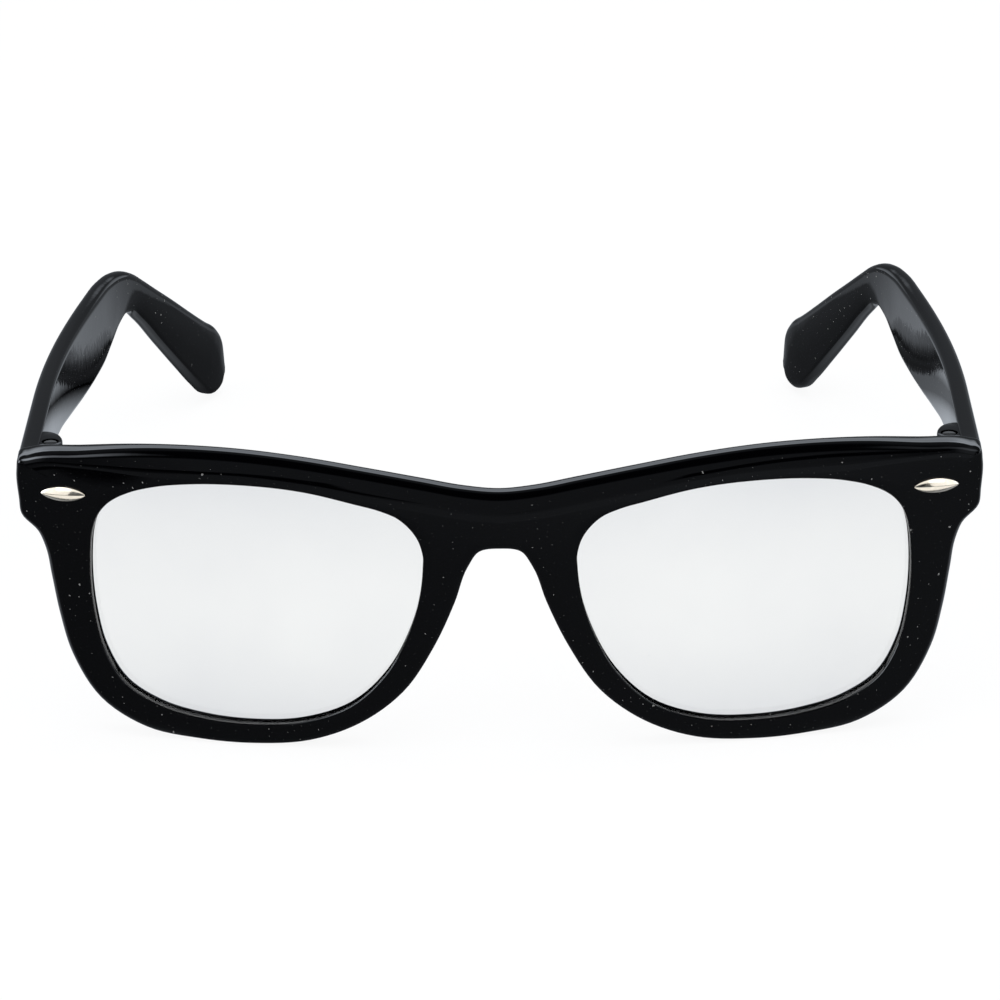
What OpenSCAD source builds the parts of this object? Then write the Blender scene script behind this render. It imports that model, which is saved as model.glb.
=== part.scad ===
// Horn-rimmed eyeglasses with thick glossy moulded frame, clear flat-look lenses and
// marquise rivet trims at the end pieces. Two temples fold on vertical screw hinges.
// Millimetres. The glasses stand on the two rim bottoms and the two temple tips.
// X runs across the face, Y from the front towards the temple tips, Z up.

/* [Front] */
// width of the front over both end pieces
front_w = 146; // [142:0.2:150]
// height of the front from rim bottom to brow
front_h = 48.7; // [46.5:0.2:50.5]
// radius of the gentle wrap of the front around the face
wrap_r = 285; // [260:5:340]
// thickness of the rims, front face to back face
rim_t = 4.2; // [3.9:0.1:4.8]
// rounded edge around the front face
front_edge = 1; // [0.7:0.05:1.2]
// small edge around the back face
back_edge = 0.7; // [0.5:0.05:0.9]
// how far the moulded nose pads stand behind the rims
pad_depth = 3.2; // [1.5:0.1:3.8]
// thickness of the end pieces where the temples butt against them
end_t = 4.4; // [4.2:0.1:5]
// how far the rim opens out behind the lens
back_relief = 1.5; // [1:0.1:1.7]
// small bevel between the front face and the lens opening
open_edge = 0.35; // [0.2:0.05:0.5]

/* [Lenses] */
// width of each lens opening
lens_w = 51.2; // [50:0.1:52.5]
// height of each lens opening
lens_h = 40.4; // [39.4:0.2:41]
// lens thickness
lens_t = 1.6; // [1.4:0.1:1.8]
// depth of the lens groove in the rim wall
groove_d = 0.7; // [0.5:0.05:0.9]
// distance from the front face to the lens groove
groove_back = 0.95; // [0.8:0.05:1.1]
// clearance between lens and groove on every side
lens_clear = 0.06; // [0.04:0.01:0.1]

/* [Temples] */
// step from the end of the front in to the outer face of a temple
end_step = 0; // [0:0.05:0.5]
// thickness of a temple
temple_t = 3; // [2.8:0.1:3.2]
// height of a temple at the hinge
temple_h = 10.2; // [9.8:0.1:10.8]
// length of a temple from hinge end to tip, straight back
temple_len = 123.7; // [116:0.5:130]
// slope of the temple down from the hinge
temple_slope = 6.6; // [6.2:0.1:6.6]
// gentle inward bow along the temple
bow_deg = 9.8; // [7:0.2:10]
// further inward bend at the ear
ear_bend_deg = 18; // [16:0.2:20]
// rounded edge of the temple
temple_edge = 0.8; // [0.5:0.05:1]

/* [Hinges] */
// height of the middle hinge knuckle on the front
knuckle_h = 3.6; // [3.2:0.1:3.8]
// height of the lower hinge lug on the temple
low_lug_h = 2.35; // [2:0.05:2.4]
// height of the upper hinge lug under the screw head
high_lug_h = 1.7; // [1.5:0.05:1.8]
// radius of the rounded hinge lug and knuckle
knuckle_r = 1.85; // [1.75:0.05:2]
// distance from the temple inner face to the hinge axis
axis_in = 1.5; // [1.4:0.05:1.8]
// distance from the butt plane back to the hinge axis
axis_back = 5.6; // [5:0.1:6]
// length of the lug web along the temple
lug_len = 5; // [4:0.1:6.5]
// radius of the hinge screw shank
screw_r = 0.8; // [0.7:0.05:0.9]
// radius of the hinge screw head
screw_head_r = 1.15; // [1.1:0.05:1.3]
// height of the hinge screw head
screw_head_h = 0.7; // [0.6:0.05:0.8]
// running clearance around the screw shank in the knuckle
bore_clear = 0.05; // [0.03:0.01:0.08]
// clearance between knuckle and lugs, above and below
lug_clear = 0.06; // [0.04:0.01:0.1]
// gap between the temple end and the front when open
butt_gap = 0.1; // [0.06:0.02:0.2]
// step from the top of the temple down to the top of its upper lug
lug_step = 0.45; // [0.3:0.05:0.6]
// how deep the screw head sits under the top of the lug
head_sink = 0.4; // [0.1:0.05:0.45]
// clearance around the screw head in its counterbore
head_clear = 0.06; // [0.03:0.01:0.1]
// clearance around the screw shank in the lugs
shank_clear = 0.02; // [0.01:0.01:0.05]

/* [Rivet trims] */
// length of a rivet trim
rivet_l = 7; // [6:0.1:7.4]
// height of a rivet trim
rivet_h = 2.3; // [2:0.1:2.6]
// how far the rivet ridge stands in front of the face
rivet_out = 0.75; // [0.5:0.05:1]
// radius of each rivet pin
pin_r = 0.55; // [0.4:0.05:0.6]
// length of each rivet pin
pin_l = 1.9; // [1.4:0.1:2.1]
// clearance around each rivet pin in its hole
pin_clear = 0.04; // [0.02:0.01:0.06]
// distance from the end of the front in to the middle of the rivet trim, along the face
rivet_in = 7.4; // [6.6:0.1:8]
// distance from the top of the brow down to the rivet trim
rivet_down = 8; // [7.6:0.1:8.8]

/* [Hidden] */
$fn = 64;

black_c = [0.03, 0.03, 0.035];
clear_c = [0.86, 0.9, 0.92, 0.4];
metal_c = [0.72, 0.69, 0.64];

// lens opening and outline of one half of the front on the flat pattern:
// [opening across, opening up, outline across, outline up], drawn for a 146 x 48.5 front
half_front = [
    [13.9, 37.6, 0, 42.2], [15.2, 38.7, 5.2, 42.7], [17.6, 39.8, 11.5, 43.9],
    [21.6, 40.9, 20, 45.45], [29.2, 42.65, 30.2, 47.05], [39, 43.4, 39.8, 47.9],
    [46.5, 43.1, 47.8, 48], [52, 42.25, 56, 47.6], [55.9, 41, 64, 46.7],
    [58.6, 39.5, 71.4, 45.6], [59.5, 38.75, 72.95, 44.95], [60.1, 38.1, 73.3, 43.2],
    [61.2, 36.4, 73.15, 38.3], [61.65, 35.2, 72.9, 35.8], [62.1, 33.3, 70.35, 32.9],
    [62.4, 30.6, 69.3, 30.2], [62.55, 26.6, 68.6, 25.8], [62.15, 20.2, 67.6, 19.4],
    [60.9, 14.2, 65.9, 12.5], [57.7, 8.4, 61.9, 5.45], [52.6, 5.25, 54.8, 1.0],
    [46, 3.55, 46.5, -0.35], [38.3, 3.0, 38, -0.6], [30.4, 3.75, 29.3, 0.4],
    [23, 6.7, 21.6, 3.6], [17.3, 12.5, 14.95, 9.1], [13.75, 19.5, 10.2, 16.75],
    [11.95, 26, 6.85, 24.5], [11.45, 30.6, 4.8, 30.45], [11.4, 32.2, 3.1, 32.95],
    [11.6, 33.4, 0, 33.45], [12.1, 35, 0, 36.8], [12.9, 36.4, 0, 39.8]];
steps = 3;
rows = len(half_front);
bridge_low = 30;
open_mid = [37.2, 23.2];

function deg(arc) = arc * 180 / PI / wrap_r;
flat_k = wrap_r * asin(front_w / 2 / wrap_r) * PI / 180 / 73.39;
up_k = front_h / 48.67;
// vertical cut at the hinges where the temples meet the front
butt_y = wrap_r * (1 - cos(asin(front_w / 2 / wrap_r))) + end_t;

function ramp(v, a, b) = let(t = min(1, max(0, (v - a) / (b - a)))) t * t * (3 - 2 * t);

// smooth closed curve through points, tangents weighted by the distances between them
function tangent(p, i, closed) =
    let(n = len(p), a = p[(i + n - 1) % n], b = p[i], c = p[(i + 1) % n])
    let(da = norm(b - a), dc = norm(c - b))
    !closed && i == 0 ? (c - b) / dc : !closed && i == n - 1 ? (b - a) / da
    : ((b - a) / da * dc + (c - b) / dc * da) / (da + dc);
function hermite(a, b, ta, tb, u) = let(d = norm(b - a), u2 = u * u, u3 = u2 * u)
    (2 * u3 - 3 * u2 + 1) * a + (u3 - 2 * u2 + u) * d * ta
    + (3 * u2 - 2 * u3) * b + (u3 - u2) * d * tb;

// outline and opening points of the half front at the chosen width and height
out_pts = [for (r = half_front) [r[2] * flat_k, r[3] * up_k]];
open_k = [lens_w / 51.15, lens_h / 40.4];
in_pts = [for (r = half_front) [
    open_mid[0] * flat_k + (r[0] - open_mid[0]) * open_k[0],
    open_mid[1] * up_k + (r[1] - open_mid[1]) * open_k[1]]];

crown_z = out_pts[0][1];
arch_z = out_pts[bridge_low][1];
function out_tan(i) = i == 0 ? [1, 0] : i == bridge_low ? [-1, 0]
    : i > bridge_low ? [0, 1] : tangent(out_pts, i, true);
function out_at(i, u) = let(j = (i + 1) % rows)
    i >= bridge_low && i + u > bridge_low ? [0, arch_z + 1.3 * front_edge
        + (crown_z - arch_z - 2.6 * front_edge) * (i + u - bridge_low) / (rows - bridge_low)]
    : i == bridge_low ? out_pts[i] : hermite(out_pts[i], out_pts[j], out_tan(i), out_tan(j), u);
function in_at(i, u) = let(j = (i + 1) % rows)
    hermite(in_pts[i], in_pts[j], tangent(in_pts, i, true), tangent(in_pts, j, true), u);

outline = [for (i = [0:rows - 1], k = [0:steps - 1]) out_at(i, k / steps)];
opening = [for (i = [0:rows - 1], k = [0:steps - 1]) in_at(i, k / steps)];
count = len(outline);
low_i = bridge_low * steps;

function left_of(a, b) = let(d = b - a) [-d[1], d[0]] / norm(d);
function out_dir(i) = i == 0 ? [0, 1] : i == low_i ? [0, -1] : i > low_i ? [0, 0]
    : left_of(outline[i - 1], outline[i + 1]);
function in_dir(i) = left_of(opening[(i + count - 1) % count], opening[(i + 1) % count]);

// depth direction: square to the wrapped face on the rims, straight back at the end pieces
function wrapped(s) = 1 - ramp(s, 62 * flat_k, 68 * flat_k);
function rolled(s, z, w) = let(q = wrapped(abs(s)), a = deg(s))
    [(wrap_r - w * q) * sin(a), wrap_r * (1 - cos(a)) + w * (q * cos(a) + 1 - q), z];
function end_depth(s) = let(q = wrapped(s), a = deg(s))
    (butt_y - wrap_r * (1 - cos(a))) / (q * cos(a) + 1 - q);
// the rim thickness grows to the butt plane over the height of the end piece
function depth_at(p) =
    let(k = ramp(p[0], 65.6 * flat_k, 69 * flat_k) * ramp(p[1], 26 * up_k, 32.5 * up_k)
        * (1 - ramp(p[1], 43.6 * up_k, 45 * up_k)))
    rim_t * (1 - k) + end_depth(p[0]) * k;
// the nose pads swell out of the back on the sides of the nose
function pad_at(p) = pad_depth * (1 - ramp(p[0], 12.5 * flat_k, 20 * flat_k))
    * ramp(p[1], 7 * up_k, 14 * up_k) * (1 - ramp(p[1], 23 * up_k, 31 * up_k));

// cross-section of the front at one station, from the back of the opening round the face
groove_front = groove_back;
groove_rear = groove_back + lens_t + 2 * lens_clear;
groove_floor = groove_d + lens_clear;
function section(i) =
    let(a = opening[i], b = outline[i], na = in_dir(i), nb = out_dir(i))
    let(ta = depth_at(a), tb = depth_at(b), pad = pad_at(b), lean = -0.35 * pad)
    let(c = front_edge, e = back_edge, m = b + (a - b) * 0.33)
    [
        [a + na * back_relief, ta],
        [a + na * back_relief * 0.4, ta - back_relief * 0.5],
        [a + na * groove_d * 0.36, groove_rear],
        [a + na * groove_floor, groove_rear],
        [a + na * groove_floor, groove_front],
        [a, groove_front],
        [a, open_edge],
        [a + na * open_edge, 0],
        [b - nb * c, 0],
        [b - nb * c * 0.293, c * 0.293],
        [b, c],
        [b + nb * lean, tb - e + pad],
        [b + nb * (lean - e), tb + pad],
        [m, depth_at(m) + pad * 0.55]
    ];
ring = len(section(0));
half_pts = [for (i = [0:count - 1], p = section(i)) rolled(p[0][0], p[0][1], p[1])];
// the outer wall of the stations on the bridge centre line is shared by both halves
function shared(i, j) = i >= low_i && j >= 8 && j <= 11;
half_faces = [for (i = [0:count - 1], j = [0:ring - 1]) if (!shared(i, j))
    let(a = i * ring, b = (i + 1) % count * ring, k = (j + 1) % ring)
    each [[a + j, b + k, b + j], [a + j, a + k, b + k]]];

module front_shell() {
    n = len(half_pts);
    polyhedron(
        points = concat(half_pts, [for (p = half_pts) [-p[0], p[1], p[2]]]),
        faces = concat(half_faces, [for (f = half_faces) [f[0] + n, f[2] + n, f[1] + n]]),
        convexity = 10);
}

// hinge axis and heights
out_x = front_w / 2 - end_step;
axis_x = out_x - temple_t - axis_in;
temple_y = butt_y + butt_gap;
axis_y = butt_y + axis_back;
temple_top = 44.3 * up_k;
end_slope = (axis_back - butt_gap) * tan(temple_slope);
head_top = temple_top - end_slope - lug_step - head_sink;
head_z = head_top - screw_head_h;
high_z = head_z - high_lug_h;
knuckle_top = high_z - lug_clear;
knuckle_z = knuckle_top - knuckle_h;
low_top = knuckle_z - lug_clear;
low_z = low_top - low_lug_h;

module at_hinge(side) {
    translate([side * axis_x, axis_y, 0]) scale_side(side) children();
}
// local X of a hinge runs inboard
module scale_side(side) {
    if (side > 0) mirror([1, 0, 0]) children();
    else children();
}

// gap between the neck of the knuckle and the inner face of the temple
knuckle_in = 0.2;
module knuckle(side) {
    at_hinge(side) translate([0, 0, knuckle_z]) linear_extrude(knuckle_h) union() {
        circle(r = knuckle_r);
        translate([knuckle_in - axis_in, -axis_back - end_t / 3])
            square([axis_in + knuckle_r - knuckle_in, axis_back + end_t / 3]);
    }
}

rivet_s = wrap_r * asin(front_w / 2 / wrap_r) * PI / 180 - rivet_in;
rivet_z = max([for (p = outline) p[1]]) - rivet_down;
pin_gap = rivet_l * 0.28;
module at_rivet(side) {
    translate([0, wrap_r, 0]) rotate([0, 0, side * deg(rivet_s)])
        translate([0, -wrap_r, rivet_z]) children();
}

module front_frame() {
    color(black_c) difference() {
        union() {
            front_shell();
            knuckle(-1);
            knuckle(1);
        }
        for (side = [-1, 1]) {
            at_hinge(side) translate([0, 0, knuckle_z - 1])
                cylinder(r = screw_r + bore_clear, h = knuckle_h + 2, $fn = 32);
            for (p = [-1, 1]) at_rivet(side) translate([p * pin_gap, -1, 0])
                rotate([-90, 0, 0]) cylinder(r = pin_r + pin_clear, h = pin_l + 1.2, $fn = 24);
        }
    }
}

// lens: a shell of the same wrap as the front, cut to the groove outline
lens_mid = groove_back + lens_clear + lens_t / 2;
lens_s = open_mid[0] * flat_k;
lens_pts = [for (i = [0:count - 1]) let(p = opening[i] + in_dir(i) * (groove_d - 0.04))
    [(wrap_r - lens_mid) * sin(deg(p[0] - lens_s)), p[1]]];
module lens(side) {
    color(clear_c) intersection() {
        translate([0, wrap_r, -5]) difference() {
            cylinder(r = wrap_r - lens_mid + lens_t / 2, h = front_h + 10, $fn = 480);
            translate([0, 0, -1])
                cylinder(r = wrap_r - lens_mid - lens_t / 2, h = front_h + 12, $fn = 480);
        }
        scale_side(-side) translate([0, wrap_r, 0]) rotate([0, 0, deg(lens_s)])
            translate([0, -wrap_r + lens_mid, 0]) rotate([90, 0, 0])
            linear_extrude(height = 8, center = true) polygon(lens_pts);
    }
}

// side outline of a temple: [along the top, drop, along the bottom, drop],
// measured from the hinge end, drawn for a 123.7 mm temple
side_rows = [
    [0, 0, 0, 10.2], [12, 0, 12, 10.1], [26, 0, 26, 10], [40, 0, 39.5, 10.7],
    [54, 0, 53, 12.3], [67, 0, 65.5, 13.3], [78, -0.1, 75, 13.3], [87, -0.25, 81.5, 12.6],
    [92, -0.05, 86.5, 10.9], [95.5, 0.65, 90.5, 8.8], [98.5, 2, 93.8, 7.7], [101.3, 3.9, 96.8, 8.2],
    [104.5, 6.2, 99.7, 10.5], [110, 10.1, 105.5, 16.5], [115.5, 14.15, 112, 23.2],
    [119.5, 17, 116.8, 28], [121.9, 18.6, 119, 29.9], [123.3, 20.4, 121.1, 30.5],
    [123.8, 23.2, 122.8, 29.9], [123.9, 25.9, 123.7, 28]];
side_n = len(side_rows);
long_k = temple_len / 123.7;
drop_k = temple_h / 10.2;
function along(l) = l * long_k;
top_pts = [for (r = side_rows) [along(r[0]), r[1] * drop_k]];
low_pts = [for (i = [0:side_n - 1]) let(r = side_rows[i])
    i == 0 ? [temple_h * tan(temple_slope), temple_h] : [along(r[2]), r[3] * drop_k]];
function curve_at(p, i, u) = hermite(p[i], p[i + 1], tangent(p, i, false),
    tangent(p, i + 1, false), u);
side_steps = 2;
top_line = concat([for (i = [0:side_n - 2], k = [0:side_steps - 1])
    curve_at(top_pts, i, k / side_steps)], [top_pts[side_n - 1]]);
low_line = concat([for (i = [0:side_n - 2], k = [0:side_steps - 1])
    curve_at(low_pts, i, k / side_steps)], [low_pts[side_n - 1]]);
stations = len(top_line);

// inward position of the temple along its length
function bend_part(l, a, b, s) = l < a ? 0 : l < b ? s * (l - a) * (l - a) / 2 / (b - a)
    : s * (b - a) / 2 + s * (l - b);
function bend(l) = bend_part(l, along(28), along(85), tan(bow_deg))
    + bend_part(l, along(84), along(100), tan(ear_bend_deg));
function bend_turn(l) = atan(bend(l + 0.5) - bend(l - 0.5));
// place a point of the side outline, w into the thickness from the outer face
function temple_pt(l, d, w) =
    let(t = bend_turn(l), b = l - w * sin(t), c = cos(temple_slope), s = sin(temple_slope))
    [-out_x + bend(l) + w * cos(t), temple_y + b * c - d * s, temple_top - b * s - d * c];

// cross-section of the temple between its top and bottom points
function temple_ring(i) =
    let(a = top_line[i], b = low_line[i], h = norm(b - a), d = (b - a) / h)
    let(e = min(temple_edge, h * 0.3), f = e * 0.293, t = temple_t)
    [for (q = [[e, 0], [f, f], [0, e], [0, t - e], [f, t - f], [e, t],
        [h - e, t], [h - f, t - f], [h, t - e], [h, e], [h - f, f], [h - e, 0]])
        let(p = a + d * q[0]) temple_pt(p[0], p[1], q[1])];
function middle(a, b) = (a + b) / 2;

module temple_blade() {
    m = 12;
    rings = [for (i = [0:stations - 1]) temple_ring(i)];
    // the hinge end is cut upright, flush with the butt plane
    first = [for (p = rings[0]) [p[0], temple_y, p[2]]];
    last = rings[stations - 1];
    pts = concat(first, [for (i = [1:stations - 1], p = rings[i]) p],
        [middle(first[1], first[7]), middle(last[1], last[7])]);
    c0 = stations * m;
    c1 = (stations - 1) * m;
    polyhedron(points = pts, faces = concat(
        [for (i = [0:stations - 2], j = [0:m - 1]) let(a = i * m, b = a + m, k = (j + 1) % m)
            each [[a + j, b + k, a + k], [a + j, b + j, b + k]]],
        [for (j = [0:m - 1]) [c0, j, (j + 1) % m]],
        [for (j = [0:m - 1]) [c0 + 1, c1 + (j + 1) % m, c1 + j]]),
        convexity = 6);
}

// plan of a hinge lug: round end and a web that runs out along the temple
web = [for (a = [0:7.5:90]) [-axis_in + (axis_in + knuckle_r) * cos(a), lug_len * sin(a)]];
module lug_plan() {
    circle(r = knuckle_r);
    polygon(concat([[-axis_in - 1, -knuckle_r], [0, -knuckle_r], [0, 0]], web,
        [[-axis_in - 1, lug_len]]));
}

module temple(side) {
    color(black_c) scale_side(side) difference() {
        union() {
            temple_blade();
            at_hinge(-1) translate([0, 0, low_z]) linear_extrude(low_lug_h) lug_plan();
            at_hinge(-1) intersection() {
                translate([0, 0, high_z]) linear_extrude(8) lug_plan();
                translate([0, temple_y - axis_y, temple_top - lug_step])
                    rotate([-temple_slope, 0, 0]) translate([-20, -20, -20]) cube([40, 60, 20]);
            }
        }
        at_hinge(-1) translate([0, 0, low_top])
            cylinder(r = knuckle_r + 0.4, h = high_z - low_top);
        at_hinge(-1) translate([0, 0, low_z - 1])
            cylinder(r = screw_r + shank_clear, h = 20, $fn = 32);
        at_hinge(-1) translate([0, 0, head_z])
            cylinder(r = screw_head_r + head_clear, h = 8, $fn = 48);
    }
}

module hinge_screw(side) {
    color(metal_c) translate([side * axis_x, axis_y, 0]) difference() {
        union() {
            translate([0, 0, low_z + 0.1]) cylinder(r = screw_r, h = head_z - low_z, $fn = 32);
            translate([0, 0, head_z + 0.02]) cylinder(r = screw_head_r, h = screw_head_h, $fn = 48);
        }
        translate([-3, -0.2, head_z + screw_head_h * 0.45]) cube([6, 0.4, 3]);
    }
}

// marquise trim: pointed oval with a ridge along its length
arc_r = (rivet_l * rivet_l / 4 + rivet_h * rivet_h / 4) / rivet_h;
arc_half = asin(rivet_l / 2 / arc_r);
oval = concat([for (k = [0:7]) let(a = arc_half * (1 - k / 4))
        [-arc_r * sin(a), arc_r * cos(a) - arc_r + rivet_h / 2]],
    [for (k = [0:7]) let(a = arc_half * (1 - k / 4))
        [arc_r * sin(a), -arc_r * cos(a) + arc_r - rivet_h / 2]]);
module rivet(side) {
    m = 16;
    t = 2 * m;
    seat = -0.02;
    rim = -0.22;
    function crest(x) = -rivet_out + (rivet_out + rim - 0.08) * pow(abs(2 * x / rivet_l), 2);
    ridge = [for (k = [0:6]) let(x = oval[k + 1][0]) [x, crest(x), 0]];
    pts = concat([for (p = oval) [p[0], seat, p[1]]], [for (p = oval) [p[0], rim, p[1]]], ridge,
        [[0, seat, 0]]);
    color(metal_c) at_rivet(side) union() {
        polyhedron(points = pts, faces = concat(
            [for (j = [0:m - 1]) let(k = (j + 1) % m) each [[j, k, m + k], [j, m + k, m + j]]],
            [for (j = [0:m - 1]) [3 * m - 9, (j + 1) % m, j]],
            [[m, m + 1, t], [m + 7, m + 8, t + 6], [m + 8, m + 9, t + 6], [m + 15, m, t]],
            [for (k = [1:6]) each [[m + k, m + k + 1, t + k], [m + k, t + k, t + k - 1]]],
            [for (k = [1:6]) let(b = m + 8 + k) each [[b, b + 1, t + 6 - k], [b, t + 6 - k, t + 7 - k]]]));
        for (p = [-1, 1]) translate([p * pin_gap, -0.1, 0]) rotate([-90, 0, 0])
            cylinder(r = pin_r, h = pin_l + 0.1, $fn = 24);
    }
}

module lens_left() {
    lens(-1);
}
module lens_right() {
    lens(1);
}
module temple_left() {
    temple(-1);
}
module temple_right() {
    temple(1);
}
module hinge_screw_left() {
    hinge_screw(-1);
}
module hinge_screw_right() {
    hinge_screw(1);
}
module rivet_left() {
    rivet(-1);
}
module rivet_right() {
    rivet(1);
}

// the tips reach furthest back, so the middle of the depth is half of that reach
tip_y = max([for (i = [side_n:stations - 1], p = temple_ring(i)) p[1]]);
rim_low = min([for (p = outline) p[1]]);
module placed() {
    translate([0, -tip_y / 2, -rim_low])
        children();
}

placed() front_frame();
placed() lens_left();
placed() lens_right();
placed() temple_left();
placed() temple_right();
placed() hinge_screw_left();
placed() hinge_screw_right();
placed() rivet_left();
placed() rivet_right();
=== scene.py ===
# %% [markdown]
# # Horn-rimmed glasses
# The real pair has a front and two temples moulded in black plastic, two clear lenses
# snapped into grooves, a small metal trim at each end piece and two hinge screws.
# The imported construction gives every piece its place. This script dresses each one with a
# finer mesh that follows the same sizes, and with a procedural finish.

# %% Load the frame
import math

import bmesh
import bpy
from mathutils import Matrix, Vector


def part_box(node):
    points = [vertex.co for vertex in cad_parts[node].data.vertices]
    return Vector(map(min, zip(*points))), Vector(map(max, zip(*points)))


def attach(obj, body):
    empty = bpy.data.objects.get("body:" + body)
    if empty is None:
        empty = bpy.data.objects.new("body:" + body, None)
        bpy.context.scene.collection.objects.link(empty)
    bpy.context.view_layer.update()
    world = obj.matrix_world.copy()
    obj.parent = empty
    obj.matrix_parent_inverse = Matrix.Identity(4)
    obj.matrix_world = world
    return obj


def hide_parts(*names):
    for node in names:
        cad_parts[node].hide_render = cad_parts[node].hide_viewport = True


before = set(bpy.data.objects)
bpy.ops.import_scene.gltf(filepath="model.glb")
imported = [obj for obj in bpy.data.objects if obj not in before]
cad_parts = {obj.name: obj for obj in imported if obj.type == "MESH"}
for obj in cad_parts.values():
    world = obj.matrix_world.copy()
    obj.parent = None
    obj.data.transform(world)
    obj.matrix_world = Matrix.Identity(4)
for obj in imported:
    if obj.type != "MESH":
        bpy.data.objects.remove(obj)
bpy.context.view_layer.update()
MM = 0.001

# %% [markdown]
# ## Small helpers
# Colours are written as sRGB hex, the way a colour picker shows them, and one function
# turns them to the linear values that the renderer works with. One more function adds
# a node: what is a node or a socket gets linked, and what is a number is typed in.

# %% Colour and node helpers
RANGE, VECTORS = "ShaderNodeMapRange", "ShaderNodeVectorMath"
SOFT = {"interpolation_type": "SMOOTHSTEP"}  # a range with soft ends


def srgb(code):
    parts = [int(code[i:i + 2], 16) / 255 for i in (1, 3, 5)]
    linear = [p / 12.92 if p <= 0.04045 else ((p + 0.055) / 1.055) ** 2.4 for p in parts]
    return (*linear, 1.0)


def add(tree, kind, *values, named=None, **settings):
    """Adds a node. The values fill its inputs in order, and named fills them by name or
    number. A kind in capitals is an operation of the Math node."""
    if kind.isupper():
        kind, settings = "ShaderNodeMath", {"operation": kind}
    made = tree.nodes.new(kind)
    for key, value in settings.items():
        setattr(made, key, value)
    for key, value in (*enumerate(values), *(named or {}).items()):
        if isinstance(value, bpy.types.Node):
            value = value.outputs[0]
        if isinstance(value, bpy.types.NodeSocket):
            tree.links.new(value, made.inputs[key])
        else:
            made.inputs[key].default_value = value
    return made


print("black", [round(c, 4) for c in srgb("#0B0B0C")])

# %% [markdown]
# ## Moulded black plastic
# The front and temples are injection moulded in black plastic, in a polished mould, so
# they are glossy and almost without colour of their own. What the eye reads is the
# reflection: a slow waviness from shrinkage bends it, and a finer ripple breaks its edges.
# Dust sits on such a surface within minutes. Small ragged specks come from a cell pattern,
# where a few cells are chosen at random, and short fibres from a second one that is
# turned by a random angle in every cell.


# %% A material that is drawn in millimetres
def blank(name):
    """A new material, with its tree, its shader and the object's own place in mm."""
    material = bpy.data.materials.new(name)
    material.use_nodes = True
    tree = material.node_tree
    place = add(tree, "ShaderNodeTexCoord")
    mm = add(tree, "ShaderNodeMapping", named={"Vector": place.outputs["Object"],
                                               "Scale": (1000, 1000, 1000)})
    return material, tree, tree.nodes["Principled BSDF"], mm


# %% Dust fibres on a face
def fibre_mask(tree, across, up, seed):
    """White on short curved lines, about two in every square centimetre."""
    cell = 5.0  # mm between fibre places
    flat = add(tree, "ShaderNodeCombineXYZ", across, up, seed)
    cells = add(tree, "ShaderNodeTexVoronoi", named={"Vector": flat, "Scale": 1 / cell},
                voronoi_dimensions="2D")
    centre = add(tree, VECTORS, cells.outputs["Position"], named={"Scale": cell},
                 operation="SCALE")
    local = add(tree, VECTORS, flat, centre, operation="SUBTRACT")
    dice = add(tree, "ShaderNodeSeparateColor", cells.outputs["Color"])
    angle = add(tree, "MULTIPLY", dice, 2 * math.pi)
    turned = add(tree, "ShaderNodeVectorRotate", named={"Vector": local, "Angle": angle},
                 rotation_type="Z_AXIS")
    part = add(tree, "ShaderNodeSeparateXYZ", turned)
    bow = add(tree, "MULTIPLY", part, part)
    curl = add(tree, "MULTIPLY", dice.outputs[1], 0.7)
    shift = add(tree, "MULTIPLY_ADD", bow, curl, part.outputs[1])
    off = add(tree, "ABSOLUTE", shift)
    thin = add(tree, "LESS_THAN", off, 0.05)
    far = add(tree, "ABSOLUTE", part)
    half = add(tree, "MULTIPLY", dice.outputs[2], 0.8)
    short = add(tree, "LESS_THAN", far, half)
    chosen = add(tree, "LESS_THAN", dice.outputs[1], 0.6)
    both = add(tree, "MULTIPLY", thin, short)
    return add(tree, "MULTIPLY", both, chosen)


# %% Specks and fibres on the broad faces
def broad_dust(tree, mm, along):
    """White on dust. The broad faces run along x (0) or y (1), and upwards."""
    at = add(tree, "ShaderNodeSeparateXYZ", mm)
    across, up = at.outputs[along], at.outputs[2]
    level = add(tree, "ShaderNodeCombineXYZ", across, up)
    ragged = add(tree, "ShaderNodeTexNoise", named={"Vector": mm, "Scale": 3.0})
    torn = add(tree, VECTORS, ragged.outputs["Color"], named={"Scale": 0.5}, operation="SCALE")
    places = add(tree, VECTORS, level, torn)
    # cells of 1.5 mm, of which about one in five holds a speck of up to 0.3 mm
    cells = add(tree, "ShaderNodeTexVoronoi", named={"Vector": places, "Scale": 1 / 1.5},
                voronoi_dimensions="2D")
    dice = add(tree, "ShaderNodeSeparateColor", cells.outputs["Color"])
    size = add(tree, RANGE, dice, 0.78, 1.0, 0.02, 0.1)
    # the specks gather in some places and spare others
    drift = add(tree, "ShaderNodeTexNoise", named={"Vector": mm, "Scale": 0.12})
    crowd = add(tree, RANGE, drift, 0.42, 0.62, 0.35, 1.0)
    reach = add(tree, "MULTIPLY", size, crowd)
    speck = add(tree, "LESS_THAN", cells.outputs["Distance"], reach)
    fibre = fibre_mask(tree, across, up, 0.0)
    shape = add(tree, "ShaderNodeNewGeometry")
    facing = add(tree, "ShaderNodeSeparateXYZ", shape.outputs["Normal"])
    square = add(tree, "ABSOLUTE", facing.outputs[1 - along])
    broad = add(tree, "GREATER_THAN", square, 0.85)
    lint = add(tree, "MAXIMUM", fibre, speck)
    return add(tree, "MULTIPLY", lint, broad)


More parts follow.
